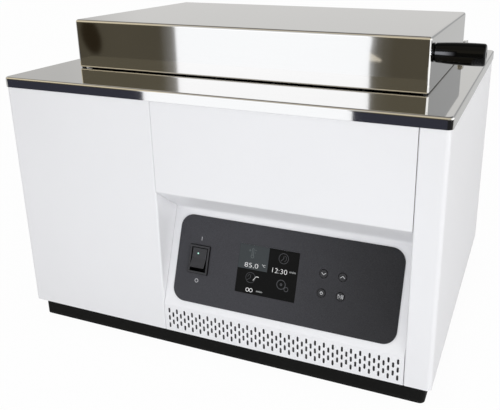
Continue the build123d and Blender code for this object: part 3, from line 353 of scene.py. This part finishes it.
sheet_share = room.ramp((edge_x + SHEET_SPAN) / SHEET_SPAN, *SHEET_STOPS)
sheet_share = sheet_share * (1 - SHARPER_SHARE * seen_twice * room.fade(edge_x, *SHARPER_BORDER))
sharp_share = (room_x > SHEET_LEFT) * (room_x < SHEET_RIGHT)
sheet_share = room.mix(room.fade(room_z, *SHEET_SHARP_BORDER), sharp_share, sheet_share)
white = room.mix(room.fade(room_z, *SHEET_HIGH_BORDER), SHEET_WHITE, SHEET_HIGH)
paper_head = PAPER_HEAD - PAPER_FALL * (room_x - SHEET_RIGHT)
paper = (room_x > PAPER_LEFT) * (room_x < PAPER_RIGHT)
paper = paper * (room_z > PAPER_FOOT) * (room_z < paper_head)
cloth = room.mix(paper, cloth, PAPER_TORN)
room.set(Emission_Color=room.mix(sheet_share, cloth, white))
screen("front_room", ROOM_WIDE, ROOM_TALL, ROOM_MIDDLE, turn=0, finish=room)

# At the right a lit white wall meets a dark strip at its foot.
WALL_DEEP = 4.4
WALL_TALL = 0.93
WALL_MIDDLE = (1.2, -0.4, 0.535)
STRIP_TALL = 0.07
STRIP_MIDDLE = (1.2, -0.4, 0.035)
WALL_STRENGTH = 1.35
CLOTH_DARK = (0.03, 0.03, 0.03)
screen("right_sheet", WALL_DEEP, WALL_TALL, WALL_MIDDLE, turn=90,
       finish=glowing("side_sheet", (1, 1, 1), WALL_STRENGTH))
screen("right_cloth", WALL_DEEP, STRIP_TALL, STRIP_MIDDLE, turn=90,
       finish=glowing("side_cloth", CLOTH_DARK, 1.0))

# A small card close before the handle gives its grip the pale streak that a window would. Its
# dark back keeps it out of the deck and the lid.
CARD_X = 0.2268
CARD_Y = -0.1195
CARD_Z = 0.3500
CARD_WIDE = 22.0 * MM
CARD_TALL = 6.8 * MM
CARD_EDGE = 1.0 * MM
CARD_BACK_GAP = 0.3 * MM
STREAK_STRENGTH = 22.0
STREAK_COLD = (0.90, 0.92, 1.0)
STREAK_END = (0.2380, 0.2235)
STREAK_RIM = (3.3 * MM, 1.5 * MM)
streak = glowing("cold_card", (0, 0, 0), STREAK_STRENGTH)
streak_x = streak.along("X")
streak_z = streak.along("Z")
streak_high = streak.fade(abs(streak_z - CARD_Z), *STREAK_RIM)
streak_share = streak.fade(streak_x, *STREAK_END) * streak_high
streak.set(Emission_Color=streak.mix(streak_share, (0, 0, 0), STREAK_COLD))
screen("handle_card", CARD_WIDE, CARD_TALL, (CARD_X, CARD_Y, CARD_Z), turn=0, finish=streak)
screen("handle_card_back", CARD_WIDE + CARD_EDGE, CARD_TALL + CARD_EDGE,
       (CARD_X, CARD_Y - CARD_BACK_GAP, CARD_Z), turn=0,
       finish=glowing("card_back", CLOTH_DARK, 1.0))

# A second card keeps the white wall's glint off the deck's front right corner.
FLAG_WIDE = 22.0 * MM
FLAG_TALL = 28.0 * MM
FLAG_MIDDLE = (0.2595, -0.2110, 0.304)
FLAG_TURN = 37
FLAG_DARK = (0.02, 0.02, 0.022)
FLAG_PALE = (0.45, 0.42, 0.35)
FLAG_BORDER = (0.3035, 0.3055)
flag = glowing("flag", (0, 0, 0), 1.0)
flag.set(Emission_Color=flag.mix(flag.fade(flag.along("Z"), *FLAG_BORDER), FLAG_DARK, FLAG_PALE))
screen("corner_flag", FLAG_WIDE, FLAG_TALL, FLAG_MIDDLE, FLAG_TURN, flag)


def lamp(name, place, aim, size, power, colour=(1, 1, 1)):
    """Square soft lamp that doesn't show in the steel."""
    light = bpy.data.lights.new(name, "AREA")
    light.size = size
    light.energy = power
    light.color = colour
    obj = bpy.data.objects.new(name, light)
    bpy.context.scene.collection.objects.link(obj)
    obj.location = place
    obj.rotation_euler = (Vector(aim) - Vector(place)).to_track_quat("-Z", "Y").to_euler()
    obj.visible_glossy = False
    obj.visible_camera = False


lamp("front_lamp", place=(-0.9, -2.8, 1.2), aim=(0, 0, 0.2), size=2.0, power=10.2)
lamp("floor_lamp", place=(0.42, -0.90, 0.03), aim=(0.0, -0.18, 0.19), size=0.8, power=0.6)
lamp("side_lamp", place=(3.0, -1.1, 0.45), aim=(0.05, -0.15, 0.15), size=1.2, power=27)
lamp("under_lamp", place=(0.10, -0.52, 0.015), aim=(0.08, -0.19, 0.18), size=0.5, power=0.54,
     colour=(0.90, 0.95, 1.0))
lamp("wall_lamp", place=(1.3, -0.62, 0.14), aim=(-0.06, -0.18, 0.14), size=0.4, power=0.5)


# Housing panels
# Sheet steel, folded and powder coated in a satin white with a faint orange-peel skin.
# The two side panels wrap the corners, the front sheet is one folding, the back is flat.
def dress(finish, *names):
    """Gives CAD nodes a finish."""
    for name in names:
        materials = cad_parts[name].data.materials
        materials.clear()
        materials.append(finish.material)


GRILLE_LEFT = -55 * MM
GRILLE_RIGHT = 218 * MM
GRILLE_FOOT = 24 * MM
GRILLE_HEAD = 55 * MM
SLOT_WALL_LIMIT = 0.8  # the panel's faces look further forward than this, its slots' walls less
COAT_WHITE = (0.797, 0.797, 0.815)
# Painted shade: near black colour for the walls of the grille's slots.
SLOT_SHADE = (0.012, 0.012, 0.013)


def slot_wall_shade(coat):
    """1 on the walls of the grille's punched slots, which are painted near black as shade."""
    out = abs(coat.faces("Y"))
    across = coat.along("X")
    rise = coat.along("Z")
    in_grille = (across > GRILLE_LEFT) * (across < GRILLE_RIGHT)
    in_grille = in_grille * (rise > GRILLE_FOOT) * (rise < GRILLE_HEAD)
    return (out < SLOT_WALL_LIMIT) * in_grille


def powder_coat(name, colour, roughness):
    """Satin powder coat: a pebbled skin, faint flow in colour and gloss, rare dust nibs, and
    painted shade on the grille's slot walls.
    """
    coat = Finish(name)
    pale = tuple(min(1, part * 1.015) for part in colour)
    deep = tuple(part * 0.985 for part in colour)
    flow = coat.grain(9, detail=3)
    peel = coat.grain(1100, detail=1)
    nibs = coat.fade(coat.grain(420, detail=0), 0.80, 0.86)
    # The grille's slot walls get painted shade in place of the coat's colour.
    coat.set(Base_Color=coat.mix(slot_wall_shade(coat), coat.mix(flow, deep, pale), SLOT_SHADE),
             Roughness=roughness - 0.05 + 0.1 * flow)
    coat.bump(peel + 1.5 * nibs, distance=0.012 * MM, strength=0.7)
    return coat


powder_white = powder_coat("powder_white", COAT_WHITE, roughness=0.42)
dress(powder_white, "left_panel", "right_panel", "rear_panel", "front_insert")


# Plinth tray
# Black moulded tray under the housing, set back from its faces. Its skin is a fine leather
# grain, a little worn and greyer where it meets the bench.
PLINTH_BLACK = (0.0088, 0.0088, 0.0084)
PLINTH_WORN = (0.020, 0.0195, 0.019)
SCUFF_RISE = 5 * MM
plinth_black = Finish("plinth_black")
leather = plinth_black.node("ShaderNodeTexVoronoi", {"feature": "SMOOTH_F1"},
                            {"Vector": plinth_black.place(), "Scale": 900.0}, "Distance")
near_bench = 1 - plinth_black.fade(plinth_black.along("Z"), 0.0, SCUFF_RISE)
scuff = near_bench * plinth_black.grain(140, detail=4)
plinth_black.set(Base_Color=plinth_black.mix(scuff, PLINTH_BLACK, PLINTH_WORN),
                 Roughness=0.55 + 0.18 * leather, Specular_IOR_Level=0.06)
plinth_black.bump(leather, distance=0.05 * MM, strength=0.6)
dress(plinth_black, "plinth")


# Deck and lid
# One millimetre stainless sheet, polished almost to a mirror over a fine brushed grain.
# The grain runs with the length of each face, and cloth wiping leaves faint smears.
def steel(name, colour, roughness, grain_depth, smear):
    """Rolled or turned metal: hair lines along each face, smears in the gloss, uneven tone."""
    metal = Finish(name)
    up = metal.fade(abs(metal.faces("Z")), 0.4, 0.6)
    level_lines = metal.grain(1, stretch=(6, 1800, 6), detail=3)
    upright_lines = metal.grain(1, stretch=(6, 6, 1800), detail=3)
    lines = level_lines * up + upright_lines * (1 - up)
    smears = metal.grain(14, stretch=(1, 2.2, 2.2), detail=4, rough=0.6)
    deep = tuple(part * 0.96 for part in colour)
    metal.set(Metallic=1.0, Base_Color=metal.mix(0.6 * lines + 0.4 * smears, deep, colour),
              Roughness=roughness + smear * smears + 0.025 * lines)
    metal.bump(lines, distance=grain_depth * MM, strength=0.5)
    return metal


POLISHED_GREY = (0.755, 0.75, 0.735)
polished_steel = steel("polished_steel", POLISHED_GREY, roughness=0.012, grain_depth=0.0010,
                       smear=0.035)
dress(polished_steel, "deck", "lid_shell")


# Lid handle
# Turned grip of glossy black phenolic with a swelling barrel, held by a long screw through
# the lid's side wall, with a thin collar between them.
PHENOLIC_DEEP = (0.0016, 0.0016, 0.0014)
PHENOLIC_PALE = (0.0036, 0.0036, 0.0034)
phenolic = Finish("phenolic_black")
swirl = phenolic.grain(160, stretch=(0.3, 1, 1), detail=3)
phenolic.set(Base_Color=phenolic.mix(swirl, PHENOLIC_DEEP, PHENOLIC_PALE),
             Roughness=0.05 + 0.04 * swirl, Specular_IOR_Level=0.12)
turning_marks = phenolic.grain(500, stretch=(0.15, 1, 1), detail=1)
phenolic.bump(turning_marks, distance=0.004 * MM, strength=0.4)
dress(phenolic, "handle_grip", "handle_collar", "valve_lever")


# Fascia
# Dark grey cover plate of the control face, with a fine speckled texture under a matt varnish.
# It lies on the slope of the front sheet, and its signs are printed in pale grey.
FASCIA_TOP = 1.0 * MM
PRINT_THICK = 0.02 * MM
SLOPE_DEEP = 40.3 * MM
SLOPE_TALL = 107.5 * MM
SLOPE_FOOT = Vector((0, -198.5 * MM, 56.4 * MM))
SLOPE_RUN = Vector((0, SLOPE_DEEP, SLOPE_TALL)).normalized()
SLOPE_OUT = Vector((0, -SLOPE_TALL, SLOPE_DEEP)).normalized()
SLOPE_TURN = Matrix((Vector((1, 0, 0)), SLOPE_RUN, SLOPE_OUT)).transposed().to_4x4()
SLOPE = Matrix.Translation(SLOPE_FOOT) @ SLOPE_TURN
# Painted sheen: the plate's colour is paler toward its left end, where the window lights it.
GROUND_RIGHT = (0.019, 0.019, 0.021)
GROUND_LEFT = (0.037, 0.037, 0.042)
SPECK_RIGHT = (0.034, 0.034, 0.037)
SPECK_LEFT = (0.062, 0.062, 0.070)
PAINTED_SHEEN_BORDER = (240 * MM, 20 * MM)

fascia_dark = Finish("fascia_dark")
specks = fascia_dark.grain(1300, detail=3, rough=0.7)
cloud = fascia_dark.grain(45, detail=2)
painted_sheen_share = fascia_dark.fade(fascia_dark.along("X"), *PAINTED_SHEEN_BORDER)
speckle = 0.8 * fascia_dark.fade(specks, 0.3, 0.7) + 0.2 * cloud
# Ground and specks go paler toward the left end: a painted sheen, not the plate's own tone.
ground = fascia_dark.mix(painted_sheen_share, GROUND_RIGHT, GROUND_LEFT)
fleck = fascia_dark.mix(painted_sheen_share, SPECK_RIGHT, SPECK_LEFT)
fascia_dark.set(Base_Color=fascia_dark.mix(speckle, ground, fleck),
                Roughness=0.48 + 0.12 * specks, Specular_IOR_Level=0.12)
fascia_dark.bump(specks, distance=0.03 * MM, strength=0.6)
dress(fascia_dark, "fascia")


def ink(name, colour, glow=0.0):
    """Printed or lit colour of a sign, a little uneven as ink and pixels are."""
    print_ink = Finish(name)
    uneven = print_ink.grain(2600, detail=2)
    thin = tuple(part * 0.86 for part in colour)
    print_ink.set(Base_Color=print_ink.mix(uneven, thin, colour), Roughness=0.45 + 0.1 * uneven,
                  Specular_IOR_Level=0.1)
    if glow:
        print_ink.set(Emission_Color=print_ink.mix(uneven, thin, colour), Emission_Strength=glow)
    return print_ink


def printed(name, finish, body, height=FASCIA_TOP):
    """Flattens the shape in hand to a print and lays it on the slope at a height above its foot."""
    sign = bpy.context.object
    sign.name = name
    tall = max(abs(vertex.co.z) for vertex in sign.data.vertices)
    sign.data.transform(Matrix.Diagonal((1, 1, 0.5 * PRINT_THICK / tall, 1)))
    sign.data.transform(Matrix.Translation((0, 0, height + 0.5 * PRINT_THICK)))
    sign.data.transform(SLOPE)
    sign.data.materials.clear()
    sign.data.materials.append(finish.material)
    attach(sign, body)


def around(middle, *points):
    """Points given from a middle, as points on the slope."""
    return [(middle[0] + x, middle[1] + y) for x, y in points]


def stroke(width, *points):
    """Drawn line of an even width through points on the slope, in millimetres."""
    bpy.ops.object.select_all(action="DESELECT")
    bpy.ops.mesh.primitive_plane_add(size=MM)
    bpy.ops.object.mode_set(mode="EDIT")
    bpy.ops.mesh.merge(type="CENTER")
    first = Vector((*points[0], 0)) * MM
    bpy.ops.transform.translate(value=first)
    at = first
    for point in points[1:]:
        to = Vector((*point, 0)) * MM
        bpy.ops.mesh.extrude_vertices_move(TRANSFORM_OT_translate={"value": to - at})
        at = to
    bpy.ops.object.mode_set(mode="OBJECT")
    bpy.ops.object.convert(target="CURVE")
    line = bpy.context.object
    line.data.bevel_depth = width * MM / 2
    line.data.bevel_resolution = 1
    line.data.use_fill_caps = True
    bpy.ops.object.convert(target="MESH")
    return bpy.context.object


def ring(width, x, y, radius):
    """Drawn ring, its radius to the middle of the line, in millimetres."""
    bpy.ops.object.select_all(action="DESELECT")
    bpy.ops.mesh.primitive_torus_add(major_segments=40, minor_segments=8, major_radius=radius * MM,
                                     minor_radius=width * MM / 2)
    loop = bpy.context.object
    loop.data.transform(Matrix.Translation((x * MM, y * MM, 0)))
    return loop


def joined(*shapes):
    """Makes one shape of several."""
    bpy.ops.object.select_all(action="DESELECT")
    for shape in shapes:
        shape.select_set(True)
    bpy.context.view_layer.objects.active = shapes[0]
    bpy.ops.object.join()


def lettering(words, x, y, width, tall, weight=0.02):
    """Words in the built-in letters, centred on a point and fitted to a size in millimetres."""
    bpy.ops.object.select_all(action="DESELECT")
    bpy.ops.object.text_add()
    line = bpy.context.object
    line.data.body = words
    line.data.extrude = 0.1
    line.data.offset = weight
    bpy.ops.object.convert(target="MESH")
    line = bpy.context.object
    low = [min(vertex.co[axis] for vertex in line.data.vertices) for axis in (0, 1)]
    high = [max(vertex.co[axis] for vertex in line.data.vertices) for axis in (0, 1)]
    wide, deep = (high[axis] - low[axis] for axis in (0, 1))
    line.data.transform(Matrix.Translation((-(low[0] + high[0]) / 2, -(low[1] + high[1]) / 2, 0)))
    line.data.transform(Matrix.Diagonal((width * MM / wide, tall * MM / deep, 1, 1)))
    line.data.transform(Matrix.Translation((x * MM, y * MM, 0)))


SIGN_ON = (-20.7, 79.6)
SIGN_ON_TALL = 4.3
SIGN_OFF = (-21.1, 33.9)
SIGN_OFF_RADIUS = 1.9
PRINT_GREY = (0.42, 0.42, 0.44)
pale_print = ink("pale_print", PRINT_GREY)
stroke(0.8, *around(SIGN_ON, (0, 0), (0, SIGN_ON_TALL)))
printed("sign_on", pale_print, "housing")
ring(0.85, *SIGN_OFF, SIGN_OFF_RADIUS)
printed("sign_off", pale_print, "housing")


# Display
# Glossy black pane, flush in the fascia, over a colour module. It is lit, with a grey field for
# the value being set, pale figures under thin grey pictures, and signs for time and settings.
PANE_LEFT = 27.5
PANE_TOP = 84.6
PANE_WIDTH = 70.6
PANE_TALL = 53.5
GLASS_CLEAN = (0.0044, 0.0044, 0.0044)
GLASS_WIPED = (0.0058, 0.0058, 0.0056)
glass = Finish("display_glass")
wipes = glass.grain(30, stretch=(1, 3, 3), detail=4, rough=0.6)
glass.set(Base_Color=glass.mix(wipes, GLASS_CLEAN, GLASS_WIPED),
          Roughness=0.30 + 0.10 * wipes, Specular_IOR_Level=0.06)
dress(glass, "display_window")


def pane_at(across, down):
    """Point of the pane from its upper left corner, in shares of its width and height."""
    return PANE_LEFT + across * PANE_WIDTH, PANE_TOP - down * PANE_TALL


bpy.ops.object.select_all(action="DESELECT")
bpy.ops.mesh.primitive_plane_add(size=1)
field = bpy.context.object
field.data.transform(Matrix.Diagonal((PANE_WIDTH / 2 * MM, PANE_TALL / 2 * MM, 1, 1)))
field_x, field_y = pane_at(0.25, 0.25)
field.data.transform(Matrix.Translation((field_x * MM, field_y * MM, 0)))
bpy.ops.object.mode_set(mode="EDIT")
bpy.ops.mesh.extrude_region_move(TRANSFORM_OT_translate={"value": (0, 0, MM)})
bpy.ops.object.mode_set(mode="OBJECT")
FIELD_GREY = (0.038, 0.043, 0.046)
printed("display_field", ink("field_grey", FIELD_GREY, glow=0.32), "housing")

FIELD_TOP = FASCIA_TOP + PRINT_THICK
THIN_LETTERS = -0.022
UNIT_SIZE = (7.0, 2.0)
LOOP_APART = 2.1
LOOP_RADIUS = 1.85
FIGURE_WHITE = (0.80, 0.80, 0.80)
UNIT_GREY = (0.42, 0.43, 0.43)
PICTURE_GREY = (0.060, 0.061, 0.066)
FAINT_GREY = (0.085, 0.098, 0.10)
RAMP_WHITE = (0.62, 0.62, 0.61)
SIGN_GLOW = 0.3
figure_white = ink("figure_white", FIGURE_WHITE, glow=0.35)
unit_grey = ink("unit_grey", UNIT_GREY, SIGN_GLOW)
picture_grey = ink("picture_grey", PICTURE_GREY, SIGN_GLOW)
faint_grey = ink("faint_grey", FAINT_GREY, SIGN_GLOW)
ramp_white = ink("ramp_white", RAMP_WHITE, SIGN_GLOW)
lettering("85,0", *pane_at(0.228, 0.425), width=16.2, tall=5.7, weight=THIN_LETTERS)
printed("display_temperature", figure_white, "housing", FIELD_TOP)
lettering("\u00b0C", *pane_at(0.432, 0.385), width=4.2, tall=2.9)
printed("display_degrees", unit_grey, "housing", FIELD_TOP)

bulb = pane_at(0.226, 0.235)
joined(ring(0.75, *bulb, 1.6),
       stroke(0.75, *around(bulb, (-0.9, 1.4), (-0.9, 8.3), (0, 9.0), (0.9, 8.3), (0.9, 1.4))),
       stroke(0.6, *around(bulb, (-5.0, 6.3), (-2.2, 6.3))),
       stroke(0.6, *around(bulb, (-3.6, 4.9), (-3.6, 7.7))),
       stroke(0.6, *around(bulb, (2.2, 7.2), (4.4, 7.2))),
       stroke(0.6, *around(bulb, (2.2, 4.4), (3.6, 4.4))))
printed("display_thermometer", faint_grey, "housing", FIELD_TOP)

clock = pane_at(0.747, 0.165)
joined(ring(0.55, *clock, 5.5),
       stroke(0.55, *around(clock, (0, 2.9), (0, 0), (-3.0, -3.2))),
       stroke(0.5, *around(clock, (1.4, 3.2), (3.0, 1.6), (3.2, -1.0), (1.2, -3.2))))
printed("display_clock", picture_grey, "housing")

lettering("12:30", *pane_at(0.706, 0.430), width=17.2, tall=5.2, weight=THIN_LETTERS)
printed("display_time", figure_white, "housing")
lettering("min", *pane_at(0.918, 0.408), *UNIT_SIZE, weight=0.0)
printed("display_time_unit", unit_grey, "housing")

dial = pane_at(0.238, 0.668)
joined(ring(0.45, *dial, 5.6),
       stroke(0.5, *around(dial, (0, 3.4), (0, 0), (-3.8, -3.0))),
       stroke(0.45, *around(dial, (-3.5, 0.6), (-2.4, 2.8), (-0.9, 3.7))))
printed("display_ramp_clock", picture_grey, "housing")
stroke(0.62, *around(dial, (3.4, -2.5), (5.8, 1.2), (6.6, 1.9), (7.6, 2.1), (9.8, 1.7)))
printed("display_ramp", ramp_white, "housing")

endless_x, endless_y = pane_at(0.240, 0.922)
joined(ring(0.5, endless_x - LOOP_APART, endless_y, LOOP_RADIUS),
       ring(0.5, endless_x + LOOP_APART, endless_y, LOOP_RADIUS))
printed("display_endless", figure_white, "housing")
lettering("min", *pane_at(0.410, 0.917), *UNIT_SIZE, weight=0.0)
printed("display_ramp_unit", unit_grey, "housing")

gear_x, gear_y = pane_at(0.755, 0.690)
joined(ring(0.75, gear_x, gear_y, 4.9), ring(0.8, gear_x, gear_y, 1.0),
       ring(0.65, gear_x + 6.3, gear_y - 4.2, 2.3))
printed("display_settings", picture_grey, "housing")


# Keys
# Four round keys of soft black plastic, each a little proud of the fascia, with a pale sign
# printed on it: down, up, choose, and start or pause.
KEY_TOP = 1.7 * MM
KEYS_LEFT = 127.1
KEYS_RIGHT = 148.1
KEYS_HIGH = 67.8
KEYS_LOW = 47.3
ARROW_WIDE = 2.4
ARROW_TALL = 1.1
DIAMOND = 1.6
START_TALL = 2.1
KEY_FACE_BORDER = (0.90, 0.99)
# Painted shade: near black colour for the keys' sides.
KEY_SIDE_SHADE = (0.006, 0.006, 0.006)
KEY_DEEP = (0.028, 0.028, 0.030)
KEY_PALE = (0.046, 0.046, 0.049)
key_black = Finish("key_black")
pebble = key_black.grain(1300, detail=1)
key_face = key_black.fade(key_black.faces_toward(SLOPE_OUT), *KEY_FACE_BORDER)
key_grey = key_black.mix(pebble, KEY_DEEP, KEY_PALE)
# The keys' sides are painted near black as shade, and their faces keep the grey plastic.
key_black.set(Base_Color=key_black.mix(key_face, KEY_SIDE_SHADE, key_grey),
              Roughness=0.42 + 0.1 * pebble, Specular_IOR_Level=0.12)
key_black.bump(pebble, distance=0.01 * MM, strength=0.6)
dress(key_black, "key_down", "key_up", "key_select", "key_start")

KEY_PRINT_GREY = (0.56, 0.56, 0.57)
key_print = ink("key_print", KEY_PRINT_GREY)
stroke(0.7, *around((KEYS_LEFT, KEYS_HIGH), (-ARROW_WIDE, ARROW_TALL), (0, -ARROW_TALL),
                    (ARROW_WIDE, ARROW_TALL)))
printed("sign_down", key_print, "key_down", KEY_TOP)
stroke(0.7, *around((KEYS_RIGHT, KEYS_HIGH), (-ARROW_WIDE, -ARROW_TALL), (0, ARROW_TALL),
                    (ARROW_WIDE, -ARROW_TALL)))
printed("sign_up", key_print, "key_up", KEY_TOP)
stroke(0.75, *around((KEYS_LEFT, KEYS_LOW), (0, DIAMOND), (DIAMOND, 0), (0, -DIAMOND),
                     (-DIAMOND, 0), (0, DIAMOND)))
printed("sign_choose", key_print, "key_select", KEY_TOP)
start_key = (KEYS_RIGHT, KEYS_LOW)
joined(stroke(0.6, *around(start_key, (-2.6, START_TALL), (-0.2, 0), (-2.6, -START_TALL),
                           (-2.6, START_TALL))),
       stroke(0.7, *around(start_key, (1.0, START_TALL), (1.0, -START_TALL))),
       stroke(0.7, *around(start_key, (2.6, START_TALL), (2.6, -START_TALL))))
printed("sign_start", key_print, "key_start", KEY_TOP)


# Mains switch
# Rocker in a proud frame, both of black nylon with finely etched faces and glossy sides, whose near
# black colour is painted shade; a small green lens is let into the rocker's upper half.
ETCHED_AND_LIT_BORDER = (0.86, 0.95)
# Painted shade: near black colour for the sides of frame and rocker.
NYLON_SIDE_SHADE = (0.0025, 0.0025, 0.0025)
NYLON_DEEP = (0.036, 0.036, 0.039)
NYLON_PALE = (0.056, 0.056, 0.060)
nylon = Finish("switch_nylon")
skin = nylon.grain(1700, detail=2)
etched_and_lit = nylon.fade(nylon.faces_toward(SLOPE_OUT), *ETCHED_AND_LIT_BORDER)
face_grey = nylon.mix(skin, NYLON_DEEP, NYLON_PALE)
# The faces are grey and the sides painted near black as shade, while the etching only changes the
# faces' gloss.
nylon.set(Base_Color=nylon.mix(etched_and_lit, NYLON_SIDE_SHADE, face_grey),
          Roughness=0.30 + 0.12 * skin + 0.1 * etched_and_lit, Specular_IOR_Level=0.10)
nylon.bump(skin, distance=0.01 * MM, strength=0.5)
dress(nylon, "switch_body", "rocker")

LENS_MIDDLE = SLOPE @ Vector((-22.3 * MM, 64.8 * MM, 3 * MM))
LENS_LIT = (1.3 * MM, 0.4 * MM)
LENS_DEEP = (0.004, 0.030, 0.022)
LENS_PALE = (0.45, 0.75, 0.66)
GLOW_DEEP = (0.002, 0.030, 0.022)
GLOW_PALE = (0.55, 0.95, 0.82)
lens_green = Finish("lens_green")
glint = lens_green.grain(700, detail=2)
reach = lens_green.node("ShaderNodeVectorMath", {"operation": "DISTANCE"},
                        {0: lens_green.place(), 1: LENS_MIDDLE}, "Value")
hot = lens_green.fade(reach, *LENS_LIT) * (0.8 + 0.2 * glint)
lens_green.set(Base_Color=lens_green.mix(hot, LENS_DEEP, LENS_PALE), Roughness=0.2,
               Emission_Color=lens_green.mix(hot, GLOW_DEEP, GLOW_PALE), Emission_Strength=0.6)
dress(lens_green, "rocker_lens")


# Tank, shelf and fittings
# The tank is deep-drawn stainless sheet with a satin inside, and its lift-out shelf is
# perforated. Hinges, screws, heater loops and probes are bright stainless, turned or bent. The
# drain valve is turned brass under a bright nickel plate.
TANK_GREY = (0.62, 0.62, 0.61)
tank_steel = steel("tank_steel", TANK_GREY, roughness=0.22, grain_depth=0.003, smear=0.1)
dress(tank_steel, "tank", "shelf_plate", "shelf_leg_left", "shelf_leg_right")
BRIGHT_GREY = (0.66, 0.66, 0.65)
bright_steel = steel("bright_steel", BRIGHT_GREY, roughness=0.16, grain_depth=0.002, smear=0.08)
dress(bright_steel, "hinge_arm_left", "hinge_arm_right", "hinge_bracket_left",
      "hinge_bracket_right", "hinge_pins", "hinge_rivets", "rear_screws", "bracket_screws",
      "handle_screw", "lever_nut", "heater_front", "heater_rear", "temperature_probe",
      "cutout_sensor", "drain_collar", "drain_pipe")
NICKEL_GREY = (0.70, 0.69, 0.66)
nickel = steel("nickel_plate", NICKEL_GREY, roughness=0.10, grain_depth=0.001, smear=0.06)
dress(nickel, "valve_body", "valve_ball")


# Buffers, glands and wool
# Small rubber buffers under the lid carry a dull bloom. Glands, terminals and posts are turned
# brass, and boards of yellow mineral wool lie around the tank.
RUBBER_BLACK = (0.012, 0.012, 0.012)
RUBBER_BLOOM = (0.03, 0.03, 0.03)
buffer_rubber = Finish("buffer_rubber")
bloom = buffer_rubber.grain(500, detail=3)
buffer_rubber.set(Base_Color=buffer_rubber.mix(bloom, RUBBER_BLACK, RUBBER_BLOOM),
                  Roughness=0.7 + 0.1 * bloom)
buffer_rubber.bump(bloom, distance=0.02 * MM)
dress(buffer_rubber, "lid_buffers")

BRASS_YELLOW = (0.72, 0.55, 0.27)
brass = steel("turned_brass", BRASS_YELLOW, roughness=0.2, grain_depth=0.002, smear=0.12)
dress(brass, "tank_glands", "heater_terminals", "inlet_pins", "switch_terminals", "valve_locknut",
      "board_posts")

WOOL_DEEP = (0.42, 0.36, 0.18)
WOOL_PALE = (0.74, 0.68, 0.44)
wool = Finish("mineral_wool")
fibres = wool.grain(220, stretch=(1, 1, 4), detail=6, rough=0.7)
wool.set(Base_Color=wool.mix(fibres, WOOL_DEEP, WOOL_PALE), Roughness=0.95)
wool.bump(fibres, distance=0.8 * MM)
dress(wool, "insulation")


# Boards and their parts
# Circuit boards under green varnish, with copper tracks showing through it, carry parts moulded
# in matt black plastic. The heat sink and the display's back are extruded aluminium.
VARNISH_GREEN = (0.012, 0.085, 0.035)
TRACK_GREEN = (0.03, 0.16, 0.07)
TRACK_BORDER = (0.48, 0.52)
board_green = Finish("board_green")
blotches = board_green.grain(260, stretch=(1, 0.2, 1), detail=0)
tracks = board_green.fade(blotches, *TRACK_BORDER)
board_green.set(Base_Color=board_green.mix(tracks, VARNISH_GREEN, TRACK_GREEN),
                Roughness=0.28 + 0.1 * tracks)
board_green.bump(tracks, distance=0.03 * MM)
dress(board_green, "keypad_board", "controller_board", "power_board")

MOULDED_BLACK = (0.014, 0.014, 0.015)
MOULDED_MATT = (0.026, 0.026, 0.027)
moulded = Finish("moulded_black")
matt = moulded.grain(1400, detail=2)
moulded.set(Base_Color=moulded.mix(matt, MOULDED_BLACK, MOULDED_MATT),
            Roughness=0.42 + 0.14 * matt)
moulded.bump(matt, distance=0.015 * MM)
dress(moulded, "controller_chips", "key_switches", "solid_state_relay", "capacitors", "mains_inlet",
      "transformer")

ALUMINIUM_GREY = (0.74, 0.75, 0.76)
aluminium = steel("extruded_aluminium", ALUMINIUM_GREY, roughness=0.32, grain_depth=0.004,
                  smear=0.08)
dress(aluminium, "heat_sink", "display_module")
